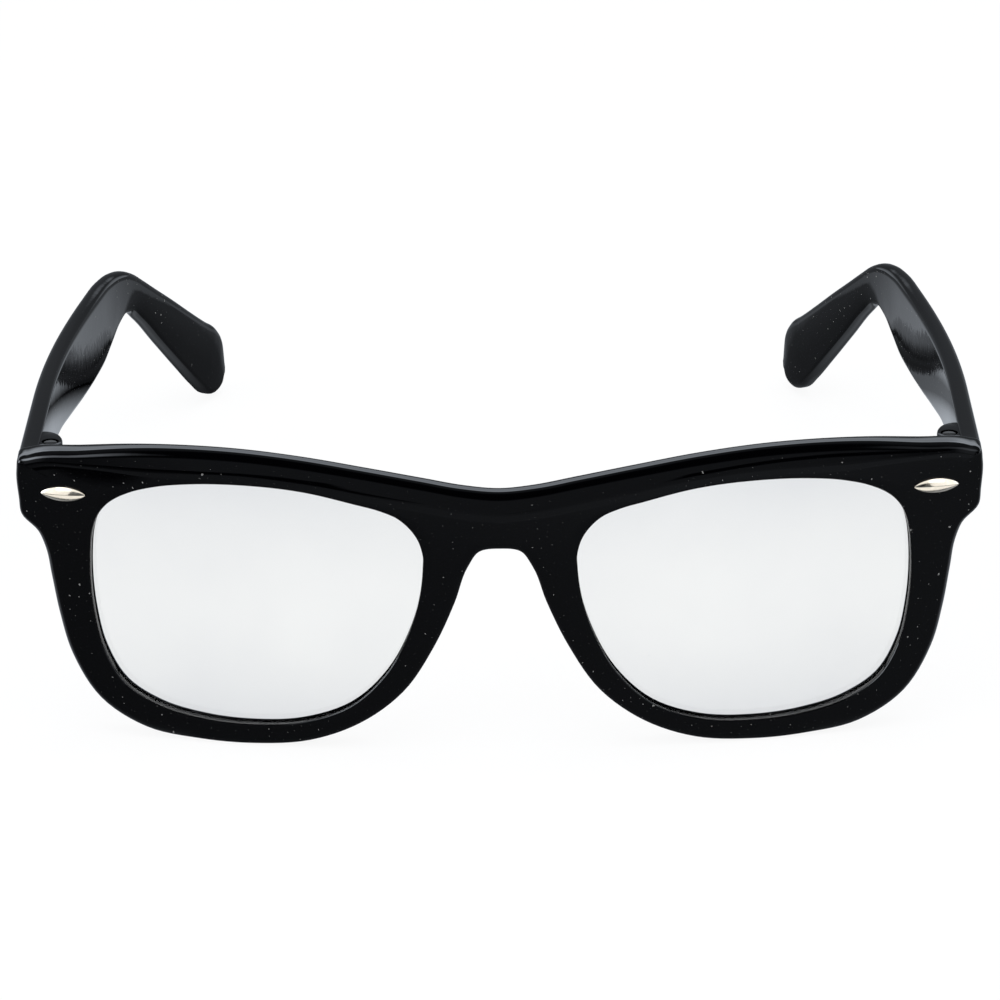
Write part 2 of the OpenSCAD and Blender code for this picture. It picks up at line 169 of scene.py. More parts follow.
# %% The black plastic
def moulded_plastic(name, along, seed, ripple):
    """Polished moulded polystyrene: IOR 1.5 gives a clear, hard reflection on black.
    A roughness of 0.015 to 0.055 is the mould's polish, dulled a little by handling."""
    material, tree, shader, mm = blank(name)
    mm.inputs["Location"].default_value = (seed, seed, seed)
    # slow waviness, about 9 mm from crest to crest, and a ripple of about 1.6 mm
    wave = add(tree, "ShaderNodeTexNoise", named={"Vector": mm, "Scale": 0.11, "Detail": 1.0})
    fine = add(tree, "ShaderNodeTexNoise", named={"Vector": mm, "Scale": 0.6, "Detail": 2.0,
                                                  "Roughness": 0.6})
    low = add(tree, "ShaderNodeBump", named={"Height": wave, "Distance": 14e-6})
    high = add(tree, "ShaderNodeBump", named={"Height": fine, "Distance": ripple, "Normal": low})
    dust = broad_dust(tree, mm, along)
    # a faint cloudiness of handling marks changes the gloss, never the colour
    smear = add(tree, "ShaderNodeTexNoise", named={"Vector": mm, "Scale": 0.08, "Detail": 4.0})
    gloss = add(tree, RANGE, smear, 0.35, 0.7, 0.015, 0.055)
    rough = add(tree, "ShaderNodeMix", named={0: dust, 2: gloss, 3: 0.8})
    colour = add(tree, "ShaderNodeMix", named={0: dust, 6: srgb("#020203"), 7: srgb("#9C9A96")},
                 data_type="RGBA")
    tree.links.new(colour.outputs[2], shader.inputs["Base Color"])
    tree.links.new(rough.outputs[0], shader.inputs["Roughness"])
    tree.links.new(high.outputs[0], shader.inputs["Normal"])
    shader.inputs["IOR"].default_value = 1.5
    return material


front_plastic = moulded_plastic("moulded_black_polystyrene_front", 0, 3.7, 2.0e-6)
temple_plastic = moulded_plastic("moulded_black_polystyrene_temple", 1, 11.3, 10.0e-6)
print("plastic", front_plastic.name, len(front_plastic.node_tree.nodes), "nodes")

# %% [markdown]
# ## Clear lenses, nickel trims, steel screws
# The lenses are clear polycarbonate, 1.6 mm thick, a little grey against white because
# each surface turns back about a twentieth of the light. The trims are stamped brass
# with a warm nickel plating, rubbed smooth. The screws are turned from stainless steel,
# so fine rings run round their axis.


# %% The lens plastic
def clear_polycarbonate(name):
    """Moulded polycarbonate: IOR 1.586, so it mirrors more than window glass does, and
    almost no roughness."""
    material, tree, shader, mm = blank(name)
    at = add(tree, "ShaderNodeSeparateXYZ", mm)
    # wiping leaves soft clouds, about 20 mm across, that dull the gloss a little
    smear = add(tree, "ShaderNodeTexNoise", named={"Vector": mm, "Scale": 0.05, "Detail": 3.0})
    cells = add(tree, "ShaderNodeTexVoronoi", named={"Vector": mm, "Scale": 1 / 3.2})
    dice = add(tree, "ShaderNodeSeparateColor", cells.outputs["Color"])
    size = add(tree, RANGE, dice, 0.6, 1.0, 0.0, 0.03)
    speck = add(tree, "LESS_THAN", cells.outputs["Distance"], size)
    lint = fibre_mask(tree, at.outputs[0], at.outputs[2], 5.0)
    dust = add(tree, "MAXIMUM", speck, lint)
    # painted shade: the lens colour greys towards its upper and lower edges, 24 mm off the middle,
    # standing for the extra light the bent sheet would turn back there
    off = add(tree, "SUBTRACT", at.outputs[2], 24.0)
    share = add(tree, "MULTIPLY", off, 1 / 24)
    edge_painted_shade = add(tree, "MULTIPLY", share, share)
    # the grey follows the real wiping clouds and the painted edge shade
    tint = add(tree, "MULTIPLY_ADD", smear, 0.6, edge_painted_shade)
    clear = add(tree, "ShaderNodeMix", named={0: tint, 6: srgb("#FAFBFA"), 7: srgb("#E7E9EB")},
                data_type="RGBA")
    colour = add(tree, "ShaderNodeMix", named={0: dust, 6: clear.outputs[2],
                                               7: srgb("#C9CCCE")}, data_type="RGBA")
    rough = add(tree, RANGE, smear, 0.4, 0.7, 0.0, 0.02)
    tree.links.new(colour.outputs[2], shader.inputs["Base Color"])
    tree.links.new(rough.outputs[0], shader.inputs["Roughness"])
    shader.inputs["IOR"].default_value = 1.586
    shader.inputs["Transmission Weight"].default_value = 1.0
    return material


lens_plastic = clear_polycarbonate("clear_moulded_polycarbonate")
print("lens", lens_plastic.name)


# %% The two metals
def metal(name, pale, dark, rings):
    """Plated or turned metal: fully metallic, the colour is the tint of its reflection,
    and a roughness of 0.08 to 0.18 is a rubbed finish. rings is the pitch of turning
    marks in mm, and none gives the cloudy grain of a stamping."""
    material, tree, shader, mm = blank(name)
    grain = add(tree, "ShaderNodeTexNoise", named={"Vector": mm, "Scale": 1.4, "Detail": 4.0})
    if rings:
        height = add(tree, "ShaderNodeTexWave", named={"Vector": mm, "Scale": 0.3 / rings,
                                                       "Distortion": 0.4}, bands_direction="Z")
    else:
        height = add(tree, "ShaderNodeTexNoise", named={"Vector": mm, "Scale": 5.0, "Detail": 2.0})
    bump = add(tree, "ShaderNodeBump", named={"Height": height, "Distance": 1.5e-6})
    colour = add(tree, "ShaderNodeMix", named={0: grain, 6: srgb(dark), 7: srgb(pale)},
                 data_type="RGBA")
    rough = add(tree, RANGE, grain, 0.3, 0.7, 0.08, 0.18)
    tree.links.new(colour.outputs[2], shader.inputs["Base Color"])
    tree.links.new(rough.outputs[0], shader.inputs["Roughness"])
    tree.links.new(bump.outputs[0], shader.inputs["Normal"])
    shader.inputs["Metallic"].default_value = 1.0
    return material


nickel = metal("warm_nickel_plated_stamping", "#E6DFD2", "#CFC6B6", None)
# painted shade: the screw metal is coloured much darker than real steel, so that the head reads as
# the dark, shaded hole of its counterbore
steel = metal("turned_steel_painted_dark", "#2A2927", "#191817", 0.12)
print("metals", nickel.name, steel.name)

# %% [markdown]
# ## Mesh helpers
# A lofted piece is a row of rings, each a list of points in millimetres. The helpers
# below turn rings into quads, close the ends, merge what coincides and point every
# face outwards. Holes and added lumps are cut and joined with the exact boolean, and
# the result is baked at once, so that no modifier is left on the piece.


# %% Lofts and new objects
def loft_faces(rows, count):
    """Quads between neighbouring rings of count points, and one face on each end."""
    faces = []
    for i in range(rows - 1):
        for j in range(count):
            a, b, k = i * count, (i + 1) * count, (j + 1) % count
            faces.append((a + j, a + k, b + k, b + j))
    return faces + [tuple(range(count)), tuple(range((rows - 1) * count, rows * count))]


def outward(mesh):
    work = bmesh.new()
    work.from_mesh(mesh)
    bmesh.ops.remove_doubles(work, verts=work.verts, dist=1e-7)
    bmesh.ops.recalc_face_normals(work, faces=work.faces)
    work.to_mesh(mesh)
    work.free()


def place_object(name, data):
    made = bpy.data.objects.new(name, data)
    bpy.context.scene.collection.objects.link(made)
    return made


def new_object(name, verts, faces, material):
    mesh = bpy.data.meshes.new(name)
    mesh.from_pydata([tuple(v) for v in verts], [], faces)
    outward(mesh)
    mesh.materials.append(material)
    return place_object(name, mesh)


# %% Baking, joining and smoothing
def plain_mesh(obj, name):
    """Bakes an object's modifiers into a mesh of its own and drops them."""
    graph = bpy.context.evaluated_depsgraph_get()
    mesh = bpy.data.meshes.new_from_object(obj.evaluated_get(graph))
    mesh.name = name
    obj.modifiers.clear()
    if obj.type != "MESH":
        bpy.data.objects.remove(obj)
        return place_object(name, mesh)
    obj.data = mesh
    obj.name = name
    return obj


def combine(target, others, operation):
    for other in others:
        step = target.modifiers.new("join", "BOOLEAN")
        step.operation = operation
        step.solver = "EXACT"
        step.object = other
    plain_mesh(target, target.name)
    for other in others:
        bpy.data.objects.remove(other)


def open_edges(obj):
    work = bmesh.new()
    work.from_mesh(obj.data)
    count = sum(not e.is_manifold for e in work.edges)
    work.free()
    return count


def smooth(obj, degrees):
    """Rounds the shading over shallow angles and keeps the real corners crisp."""
    work = bmesh.new()
    work.from_mesh(obj.data)
    # where a sloping face was joined, a sliver of a triangle can be missing
    bmesh.ops.holes_fill(work, edges=[e for e in work.edges if e.is_boundary], sides=4)
    bmesh.ops.triangulate(work, faces=[f for f in work.faces if len(f.verts) > 4])
    bmesh.ops.recalc_face_normals(work, faces=work.faces)
    for face in work.faces:
        face.smooth = True
    for edge in work.edges:
        edge.smooth = edge.is_manifold and edge.calc_face_angle(0) < math.radians(degrees)
    work.to_mesh(obj.data)
    work.free()
    print(obj.name, len(obj.data.polygons), "faces, open edges", open_edges(obj))


# %% [markdown]
# ## The outline of the front
# Half of the front is drawn flat, as a mould maker would: the lens opening and the outer
# edge, each through the same number of points, measured from the middle of the bridge and
# up from the rim bottoms. A smooth curve runs through them, and the flat pattern is then
# rolled around an upright cylinder, because the real front wraps gently round the face.

# %% Sizes of the front, in millimetres
WRAP = 285.0  # radius of the cylinder
RIM = 4.2  # thickness of the front
BACK_EDGE = 0.7
PAD = 3.2
LENS_T = 1.6
GROOVE = 0.7
GROOVE_BACK = 0.95  # from the face to the groove
CLEAR = 0.06
FRONT_HALF = 73.0
BUTT_Y = WRAP * (1 - math.cos(math.asin(FRONT_HALF / WRAP))) + 4.4
# opening across and up, outer edge across and up
HALF_FRONT = [
    (13.9, 37.6, 0, 42.2), (15.2, 38.7, 5.2, 42.7), (17.6, 39.8, 11.5, 43.9),
    (21.6, 40.9, 20, 45.45), (29.2, 42.65, 30.2, 47.05), (39, 43.4, 39.8, 47.9),
    (46.5, 43.1, 47.8, 48), (52, 42.25, 56, 47.6), (55.9, 41, 64, 46.7),
    (58.6, 39.5, 71.4, 45.6), (59.5, 38.75, 72.95, 44.95), (60.1, 38.1, 73.3, 43.2),
    (61.2, 36.4, 73.15, 38.3), (61.65, 35.2, 72.9, 35.8), (62.1, 33.3, 70.35, 32.9),
    (62.4, 30.6, 69.3, 30.2), (62.55, 26.6, 68.6, 25.8), (62.15, 20.2, 67.6, 19.4),
    (60.9, 14.2, 65.9, 12.5), (57.7, 8.4, 61.9, 5.45), (52.6, 5.25, 54.8, 1.0),
    (46, 3.55, 46.5, -0.35), (38.3, 3.0, 38, -0.6), (30.4, 3.75, 29.3, 0.4),
    (23, 6.7, 21.6, 3.6), (17.3, 12.5, 14.95, 9.1), (13.75, 19.5, 10.2, 16.75),
    (11.95, 26, 6.85, 24.5), (11.45, 30.6, 4.8, 30.45), (11.4, 32.2, 3.1, 32.95),
    (11.6, 33.4, 0, 33.45), (12.1, 35, 0, 36.8), (12.9, 36.4, 0, 39.8)]
FLAT = WRAP * math.asin(FRONT_HALF / WRAP) / 73.39  # drawn width to real arc length
LENS_MID = 37.2
BRIDGE_LOW = 30  # the row under the bridge
STEPS = 6
print("butt plane", round(BUTT_Y, 3), "flat scale", round(FLAT, 5))


# %% Curves through points
def ramp(v, a, b):
    t = min(1.0, max(0.0, (v - a) / (b - a)))
    return t * t * (3 - 2 * t)


def tangent(points, i, closed):
    n = len(points)
    a, b, c = points[(i - 1) % n], points[i], points[(i + 1) % n]
    back, ahead = (b - a).length, (c - b).length
    if not closed and i == 0:
        return (c - b) / ahead
    if not closed and i == n - 1:
        return (b - a) / back
    return ((b - a) / back * ahead + (c - b) / ahead * back) / (back + ahead)


def hermite(a, b, ta, tb, u):
    d = (b - a).length
    return ((2 * u ** 3 - 3 * u ** 2 + 1) * a + (u ** 3 - 2 * u ** 2 + u) * d * ta
            + (3 * u ** 2 - 2 * u ** 3) * b + (u ** 3 - u ** 2) * d * tb)


def left_of(a, b):
    d = (b - a).normalized()
    return Vector((-d.y, d.x))


out_pts = [Vector((r[2] * FLAT, r[3])) for r in HALF_FRONT]
in_pts = [Vector((LENS_MID * FLAT + r[0] - LENS_MID, r[1])) for r in HALF_FRONT]
ROWS = len(HALF_FRONT)
COUNT = ROWS * STEPS
LOW_I = BRIDGE_LOW * STEPS
CROWN, ARCH = out_pts[0].y, out_pts[BRIDGE_LOW].y
print("crown", round(CROWN, 3), "arch", round(ARCH, 3))

# %% [markdown]
# ## The rolled brow
# The photographed brow has no hard corner. Its front face leans back over the last four
# millimetres below the top edge, which is why dark and pale bands run along it. Elsewhere
# the edge is rounded over about a millimetre. A quarter ellipse gives both: it gets higher
# and deeper where the outline faces up, and tighter again on the end pieces.

# %% Stations of the front
ROLL_DEEP = 1.0
BROW_DEEP = 2.5
ROLL_SIDE = 1.15
ROLL_BROW = 3.9


def roll_length(normal, width, side=ROLL_SIDE, brow=ROLL_BROW):
    up = max(0.0, normal.y)
    return min(side + (brow - side) * up ** 1.5, 0.8 * width)


def roll_depth(normal, side, brow):
    return side + (brow - side) * max(0.0, normal.y) ** 2


ROLL_TOP = roll_length(Vector((0, 1)), 9)


def out_tangent(i):
    if i == 0:
        return Vector((1, 0))
    if i == BRIDGE_LOW:
        return Vector((-1, 0))
    return tangent(out_pts, i, True)


def out_at(i, u):
    if i > BRIDGE_LOW or (i == BRIDGE_LOW and u > 0):
        low, high = ARCH + 1.1 * ROLL_SIDE, CROWN - 1.05 * ROLL_TOP
        return Vector((0, low + (high - low) * (i + u - BRIDGE_LOW) / (ROWS - BRIDGE_LOW)))
    if i == BRIDGE_LOW:
        return out_pts[i]
    return hermite(out_pts[i], out_pts[i + 1], out_tangent(i), out_tangent(i + 1), u)


def in_at(i, u):
    j = (i + 1) % ROWS
    return hermite(in_pts[i], in_pts[j], tangent(in_pts, i, True),
                   tangent(in_pts, j, True), u)


outline = [out_at(i, k / STEPS) for i in range(ROWS) for k in range(STEPS)]
opening = [in_at(i, k / STEPS) for i in range(ROWS) for k in range(STEPS)]
print("stations", COUNT, "lowest point", round(min(p.y for p in outline), 3))


# %% Ways out of the two curves
def out_dir(i):
    if i == 0:
        return Vector((0, 1))
    if i == LOW_I:
        return Vector((0, -1))
    return Vector((0, 0)) if i > LOW_I else left_of(outline[i - 1], outline[i + 1])


def in_dir(i):
    return left_of(opening[i - 1], opening[(i + 1) % COUNT])


# %% Depths across the front
FRONT_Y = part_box("front_frame")[0][1]
RIM_LOW = min(p.y for p in outline)


def wrapped(s):
    return 1 - ramp(s, 62 * FLAT, 68 * FLAT)


def rolled(s, z, w):
    """Rolls a flat point (s across, z up, w deep) around the cylinder, into metres."""
    q, a = wrapped(abs(s)), s / WRAP
    x = (WRAP - w * q) * math.sin(a)
    y = WRAP * (1 - math.cos(a)) + w * (q * math.cos(a) + 1 - q)
    return Vector((x * MM, y * MM + FRONT_Y, (z - RIM_LOW) * MM))


def end_depth(s):
    q, a = wrapped(s), s / WRAP
    return (BUTT_Y - WRAP * (1 - math.cos(a))) / (q * math.cos(a) + 1 - q)


def depth_at(p):
    """The rim's own depth, and on the end piece the depth to the temple's end."""
    k = (ramp(p.x, 65.6 * FLAT, 69 * FLAT) * ramp(p.y, 26, 32.5)
         * (1 - ramp(p.y, 43.6, 45)))
    return RIM * (1 - k) + end_depth(p.x) * k


def pad_at(p):
    """How far the nose pad stands out of the back."""
    inner = 1 - ramp(p.x, 12.5 * FLAT, 20 * FLAT)
    return PAD * inner * ramp(p.y, 7, 14) * (1 - ramp(p.y, 23, 31))


print("front plane at", round(FRONT_Y, 5), "rim low", round(RIM_LOW, 4))

# %% [markdown]
# ## Cross-section of the rim
# At every station one closed section is drawn, from the back of the opening round the
# face and back again: the relieved back, the groove that holds the lens, the bright wall
# in front of the lens with its small rounded edge, the face, the rolled outer edge, the
# outer wall and the rounded back with its nose pads.

# %% Parts of a section
EDGE = 0.3
REAR_LIP = 0.1
UNDERCUT = 0.22
BACK_RELIEF = 1.5  # how far the back slopes down to the opening
ROUND_POINTS = 5
FACE_POINTS = 6
ROLL_POINTS = 9


def quarter(u):
    """Runs over a quarter ellipse from its flat end to its steep end."""
    return math.sin(u * math.pi / 2), 1 - math.cos(u * math.pi / 2)


def relieved_back(a, na, rim_depth, rear):
    """A parabola from the back of the rim down to the rear lip of the opening."""
    points = []
    for k in range(ROUND_POINTS):
        u = k / ROUND_POINTS
        along = (1 - u) ** 2 * BACK_RELIEF + 2 * u * (1 - u) * 0.3 + u * u * REAR_LIP
        deep = (1 - u) ** 2 * rim_depth + 2 * u * (1 - u) * (rim_depth - 0.35) + u * u * rear
        points.append((a + na * along, deep))
    return points


def groove(a, na, rear, undercut):
    floor_d = GROOVE + CLEAR
    return [(a + na * REAR_LIP, rear), (a + na * floor_d, rear),
            (a + na * floor_d, GROOVE_BACK), (a + na * undercut, GROOVE_BACK)]


# %% One whole section
def section(i):
    a, b, na, nb = opening[i], outline[i], in_dir(i), out_dir(i)
    rim_depth, wall_depth, pad = depth_at(a), depth_at(b), pad_at(b)
    lean = -0.35 * pad
    # on its outer side the opening has a straight wall with a wider rounding
    straight = ramp(a.x, 52 * FLAT, 60 * FLAT)
    edge = EDGE + 0.1 * straight
    rear = GROOVE_BACK + LENS_T + 2 * CLEAR
    ring = relieved_back(a, na, rim_depth, rear)
    ring += groove(a, na, rear, UNDERCUT * (1 - straight))
    for k in range(ROUND_POINTS):
        s, c = quarter(k / (ROUND_POINTS - 1))
        ring.append((a + na * edge * c, edge * (1 - s)))
    # the rolls get tighter on the end piece
    crisp = 0.45 * ramp(b.x, 66 * FLAT, 71 * FLAT) * ramp(b.y, 32, 37)
    ends = ramp(b.x, 50 * FLAT, 70 * FLAT)
    length = roll_length(nb, (b - a).length, ROLL_SIDE - crisp, ROLL_BROW - 2.5 * ends)
    deep_roll = roll_depth(nb, ROLL_DEEP - crisp, BROW_DEEP - 0.6 * ends)
    start, end = a + na * edge, b - nb * length
    ring += [(start.lerp(end, k / FACE_POINTS), 0.0) for k in range(1, FACE_POINTS)]
    for k in range(ROLL_POINTS):
        s, c = quarter(k / (ROLL_POINTS - 1))
        ring.append((b - nb * length * (1 - s), deep_roll * c))
    half_way = deep_roll + (wall_depth - BACK_EDGE + pad - deep_roll) * 0.5
    ring.append((b + nb * lean * 0.4, half_way))
    for k in range(ROUND_POINTS):
        s, c = quarter(k / (ROUND_POINTS - 1))
        ring.append((b + nb * (lean - BACK_EDGE * c), wall_depth - BACK_EDGE * (1 - s) + pad))
    for part, swell in ((0.12, 0.98), (0.22, 0.83), (0.33, 0.6), (0.45, 0.35), (0.6, 0.1)):
        m = (b - nb * BACK_EDGE).lerp(a + na * BACK_RELIEF, part)
        ring.append((m, depth_at(m) + pad * swell))
    return ring


# the stretch of a section that the other half closes, at the middle of the bridge
WALL_FROM = ROUND_POINTS + 4 + ROUND_POINTS + FACE_POINTS - 1
WALL_TO = WALL_FROM + ROLL_POINTS + ROUND_POINTS
print("points in a section", len(section(0)), "outer wall", WALL_FROM, WALL_TO)


# %% The shell of the front
def front_shell():
    rings = [section(i) for i in range(COUNT)]
    size = len(rings[0])
    half = [rolled(p.x, p.y, w) for ring in rings for p, w in ring]
    faces = []
    for i in range(COUNT):
        for j in range(size):
            if i >= LOW_I and WALL_FROM <= j < WALL_TO:
                continue
            a, b, k = i * size, (i + 1) % COUNT * size, (j + 1) % size
            faces.append((a + j, b + j, b + k, a + k))
    n = len(half)
    mirrored = [Vector((-p.x, p.y, p.z)) for p in half]
    other = [tuple(n + v for v in reversed(face)) for face in faces]
    return new_object("front", half + mirrored, faces + other, front_plastic)


front = front_shell()
print("front", len(front.data.vertices), "points, open edges", open_edges(front))

# %% [markdown]
# ## Hinge sizes
# The hinge is moulded in one with the plastic: a knuckle on the front stands between two
# lugs of the temple, and one screw passes through all three. Every round part gets a
# small rounded edge, because no mould gives a knife edge.

# %% Sizes of the hinge and temple, in millimetres
TEMPLE_T = 3.0
SLOPE = math.radians(6.6)
TOP_Z = 44.3
LUG_R = 1.85
HEAD_SINK = 0.4
HEAD_DEEP = 0.7
LUG_T = 1.7
LOW_LUG_T = 2.35
KNUCKLE_T = 3.6
NECK = 5.6  # from the end piece to the hinge axis
AXIS_X = FRONT_HALF - TEMPLE_T - 1.5
AXIS_Y = BUTT_Y + NECK
TEMPLE_Y = BUTT_Y + 0.1
HEAD_TOP = TOP_Z - 5.5 * math.tan(SLOPE) - 0.45 - HEAD_SINK
HEAD_Z = HEAD_TOP - HEAD_DEEP
HIGH_Z = HEAD_Z - LUG_T
KNUCKLE_TOP = HIGH_Z - CLEAR
KNUCKLE_Z = KNUCKLE_TOP - KNUCKLE_T
LOW_TOP = KNUCKLE_Z - CLEAR
LOW_Z = LOW_TOP - LOW_LUG_T


def spot(x, y, z):
    return Vector((x * MM, y * MM + FRONT_Y, (z - RIM_LOW) * MM))


print("hinge axis", [round(v, 5) for v in spot(AXIS_X, AXIS_Y, KNUCKLE_Z)])


# %% Upright prisms with rounded rims
def prism(name, plan, low, high, side, edge=0.0):
    """Raises a plan (points round the hinge axis, x inboard) and rounds both rims."""
    middle = sum((Vector(p) for p in plan), Vector((0, 0))) / len(plan)
    levels = [(low, 0.0), (high, 0.0)]
    if edge:
        rounds = [(edge * (1 - math.cos(a)), edge * (1 - math.sin(a)))
                  for a in (0, math.pi / 6, math.pi / 3, math.pi / 2)]
        levels = ([(low + up, pull) for up, pull in rounds]
                  + [(high - up, pull) for up, pull in rounds[::-1]])
    verts = []
    for z, pull in levels:
        for p in plan:
            q = Vector(p)
            q -= (q - middle).normalized() * pull
            verts.append(spot(side * (AXIS_X - q.x), AXIS_Y + q.y, z))
    return new_object(name, verts, loft_faces(len(levels), len(plan)), front_plastic)


def circle(radius, count=48):
    return [(radius * math.cos(2 * math.pi * k / count),
             radius * math.sin(2 * math.pi * k / count)) for k in range(count)]


def arc(radius, start, end, count):
    angles = [math.radians(start + (end - start) * k / count) for k in range(count + 1)]
    return [(radius * math.cos(a), radius * math.sin(a)) for a in angles]


# %% The knuckles on the front, each a round end on a short neck
neck = [(0.2 - 1.5, -NECK - 1.4), (LUG_R, -NECK - 1.4)]
knuckle_plan = arc(LUG_R, 0, 180 + 45.4, 28) + neck
combine(front, [prism("knuckle", knuckle_plan, KNUCKLE_Z, KNUCKLE_TOP, side, 0.12)
                for side in (-1, 1)], "UNION")
combine(front, [prism("bore", circle(0.85), KNUCKLE_Z - 1, KNUCKLE_TOP + 1, side)
                for side in (-1, 1)], "DIFFERENCE")
smooth(front, 32)

# %% [markdown]
# ## The temples
# Each temple is drawn from the side as a top line and a bottom line, deep at the ear and
# slender before it, then bent inwards: a gentle bow along its length and a further bend
# at the ear. A rounded rectangle of three millimetres follows the two lines.

# %% Side outline of a temple
# top line along and down, bottom line along and down
SIDE_ROWS = [
    (0, 0, 0, 10.2), (12, 0, 12, 10.1), (26, 0, 26, 10), (40, 0, 39.5, 10.7),
    (54, 0, 53, 12.3), (67, 0, 65.5, 13.3), (78, -0.1, 75, 13.3), (87, -0.25, 81.5, 12.6),
    (92, -0.05, 86.5, 10.9), (95.5, 0.65, 90.5, 8.8), (98.5, 2, 93.8, 7.7),
    (101.3, 3.9, 96.8, 8.2), (104.5, 6.2, 99.7, 10.5), (110, 10.1, 105.5, 16.5),
    (115.5, 14.15, 112, 23.2), (119.5, 17, 116.8, 28), (121.9, 18.6, 119, 29.9),
    (123.3, 20.4, 121.1, 30.5), (123.8, 23.2, 122.8, 29.9), (123.9, 25.9, 123.7, 28)]
SIDE_STEPS = 6
top_pts = [Vector((r[0], r[1])) for r in SIDE_ROWS]
low_pts = [Vector((r[2], r[3])) for r in SIDE_ROWS]
low_pts[0].x = low_pts[0].y * math.tan(SLOPE)


def curve_line(points):
    line = [hermite(points[i], points[i + 1], tangent(points, i, False),
                    tangent(points, i + 1, False), k / SIDE_STEPS)
            for i in range(len(points) - 1) for k in range(SIDE_STEPS)]
    return line + [points[-1]]


top_line, low_line = curve_line(top_pts), curve_line(low_pts)
print("temple stations", len(top_line))


# %% Bends and sections of a temple
def bend_part(l, a, b, degrees):
    slope = math.tan(math.radians(degrees))
    if l < a:
        return 0.0
    if l < b:
        return slope * (l - a) ** 2 / 2 / (b - a)
    return slope * (b - a) / 2 + slope * (l - b)


def bend(l):
    """How far inwards the temple has come: the bow along it, and the bend at the ear."""
    return bend_part(l, 28, 85, 9.8) + bend_part(l, 84, 100, 18)


def temple_point(l, d, w):
    t = math.atan(bend(l + 0.5) - bend(l - 0.5))
    b = l - w * math.sin(t)
    return (FRONT_HALF - bend(l) - w * math.cos(t),
            TEMPLE_Y + b * math.cos(SLOPE) - d * math.sin(SLOPE),
            TOP_Z - b * math.sin(SLOPE) - d * math.cos(SLOPE))


def temple_ring(a, b, shrink=0.0):
    """Rounded rectangle between the top point a and the bottom point b. Its upper inner
    edge is crisp at the hinge and rounds off towards the ear."""
    h = (b - a).length
    d = (b - a) / h
    e = min(1.15, h * 0.3)
    f = min(0.55 + 0.9 * ramp(a.x, 5, 90), h * 0.3)
    ring = []
    for (u0, w0, turn, edge) in ((e, e, 270, e), (f, TEMPLE_T - f, 180, f),
                                 (h - e, TEMPLE_T - e, 90, e), (h - e, e, 0, e)):
        for k in range(6):
            angle = math.radians(turn - 18 * k)
            r = edge - min(shrink, edge * 0.95)
            ring.append((u0 + r * math.cos(angle), w0 + r * math.sin(angle)))
    return [temple_point(*(a + d * u), w) for u, w in ring]


# %% The long body of a temple
def temple_blade(side):
    rings = [temple_ring(a, b) for a, b in zip(top_line[1:], low_line[1:])]
    # the end at the hinge is cut square, with a rounded rim
    for ahead, shrink in ((0.5, 0.0), (0.31, 0.04), (0.15, 0.15), (0.04, 0.31), (0.0, 0.5)):
        start = temple_ring(top_line[0], low_line[0], shrink)
        rings.insert(0, [(x, TEMPLE_Y + ahead, z) for x, y, z in start])
    a, b = top_line[-1], low_line[-1]
    inward, tip = (b - a) * 0.08, Vector((0.28, 0.12)) * 0.8
    rings.append(temple_ring(a + tip + inward, b + tip - inward, 0.25))
    verts = [spot(side * x, y, z) for ring in rings for x, y, z in ring]
    return new_object("temple", verts, loft_faces(len(rings), len(rings[0])), temple_plastic)


# %% Lugs, bores and the finished temples
def lug_plan(length=5.0):
    web = [(-1.5 + (1.5 + LUG_R) * math.cos(math.radians(a)),
            length * math.sin(math.radians(a))) for a in range(0, 91, 6)]
    rear = [(-2.5, length), (-2.5, -LUG_R), (0, -LUG_R)]
    return web + rear + arc(LUG_R, -84, -6, 12)


def temple(side, name):
    blade = temple_blade(side)
    lower = prism("lug", lug_plan(), LOW_Z, LOW_TOP, side, 0.12)
    upper = prism("lug", lug_plan(), HIGH_Z, HEAD_TOP + HEAD_SINK, side, 0.3)
    # the top of the upper lug slopes as the temple does
    axis = spot(AXIS_X, AXIS_Y, HEAD_TOP)
    for corner in upper.data.vertices:
        if corner.co.z > axis.z - 0.3 * MM:
            corner.co.z -= (corner.co.y - axis.y) * math.tan(SLOPE)
    combine(blade, [lower, upper], "UNION")
    combine(blade, [prism("slot", circle(LUG_R + 0.4), LOW_TOP, HIGH_Z, side),
                    prism("bore", circle(0.82), LOW_Z - 1, HEAD_TOP + 4, side),
                    prism("seat", circle(1.33), HEAD_Z, HEAD_TOP + 4, side)], "DIFFERENCE")
    blade.name = name
    smooth(blade, 32)
    return blade


temple_left = temple(-1, "temple_left_arm")
temple_right = temple(1, "temple_right_arm")

# %% [markdown]
# ## Lenses by rule
# A lens is a piece whose shape follows a rule: its edge is the opening of the rim, moved
# out by the depth of the groove, and its two faces are bent to the same cylinder as the
# front. A node tree does this. It takes the flat edge as a curve, spreads a grid of
# rings inside it, bends that grid twice at two depths, and walls the edge between them.
# Inputs carry the sizes, so the same tree would make any other lens of this wrap.


# %% Start, end and use of a tree
def tree_with(name, floats):
    """A node tree with named inputs. Returns it, its input node and the inputs' ids."""
    tree = bpy.data.node_groups.new(name, "GeometryNodeTree")
    tree.interface.new_socket("Geometry", in_out="INPUT", socket_type="NodeSocketGeometry")
    ids = {}
    for label, kind in floats.items():
        made = tree.interface.new_socket(label, in_out="INPUT", socket_type="NodeSocket" + kind)
        ids[label] = made.identifier
    tree.interface.new_socket("Geometry", in_out="OUTPUT", socket_type="NodeSocketGeometry")
    return tree, add(tree, "NodeGroupInput"), ids


def end_tree(tree, given, shape):
    """Makes instances real and sets the material, because the export drops instances."""
    real = add(tree, "GeometryNodeRealizeInstances", shape)
    skin = add(tree, "GeometryNodeSetMaterial",
               named={"Geometry": real, "Material": given.outputs["Material"]})
    add(tree, "NodeGroupOutput", skin)
    print(tree.name, len(tree.nodes), "nodes")


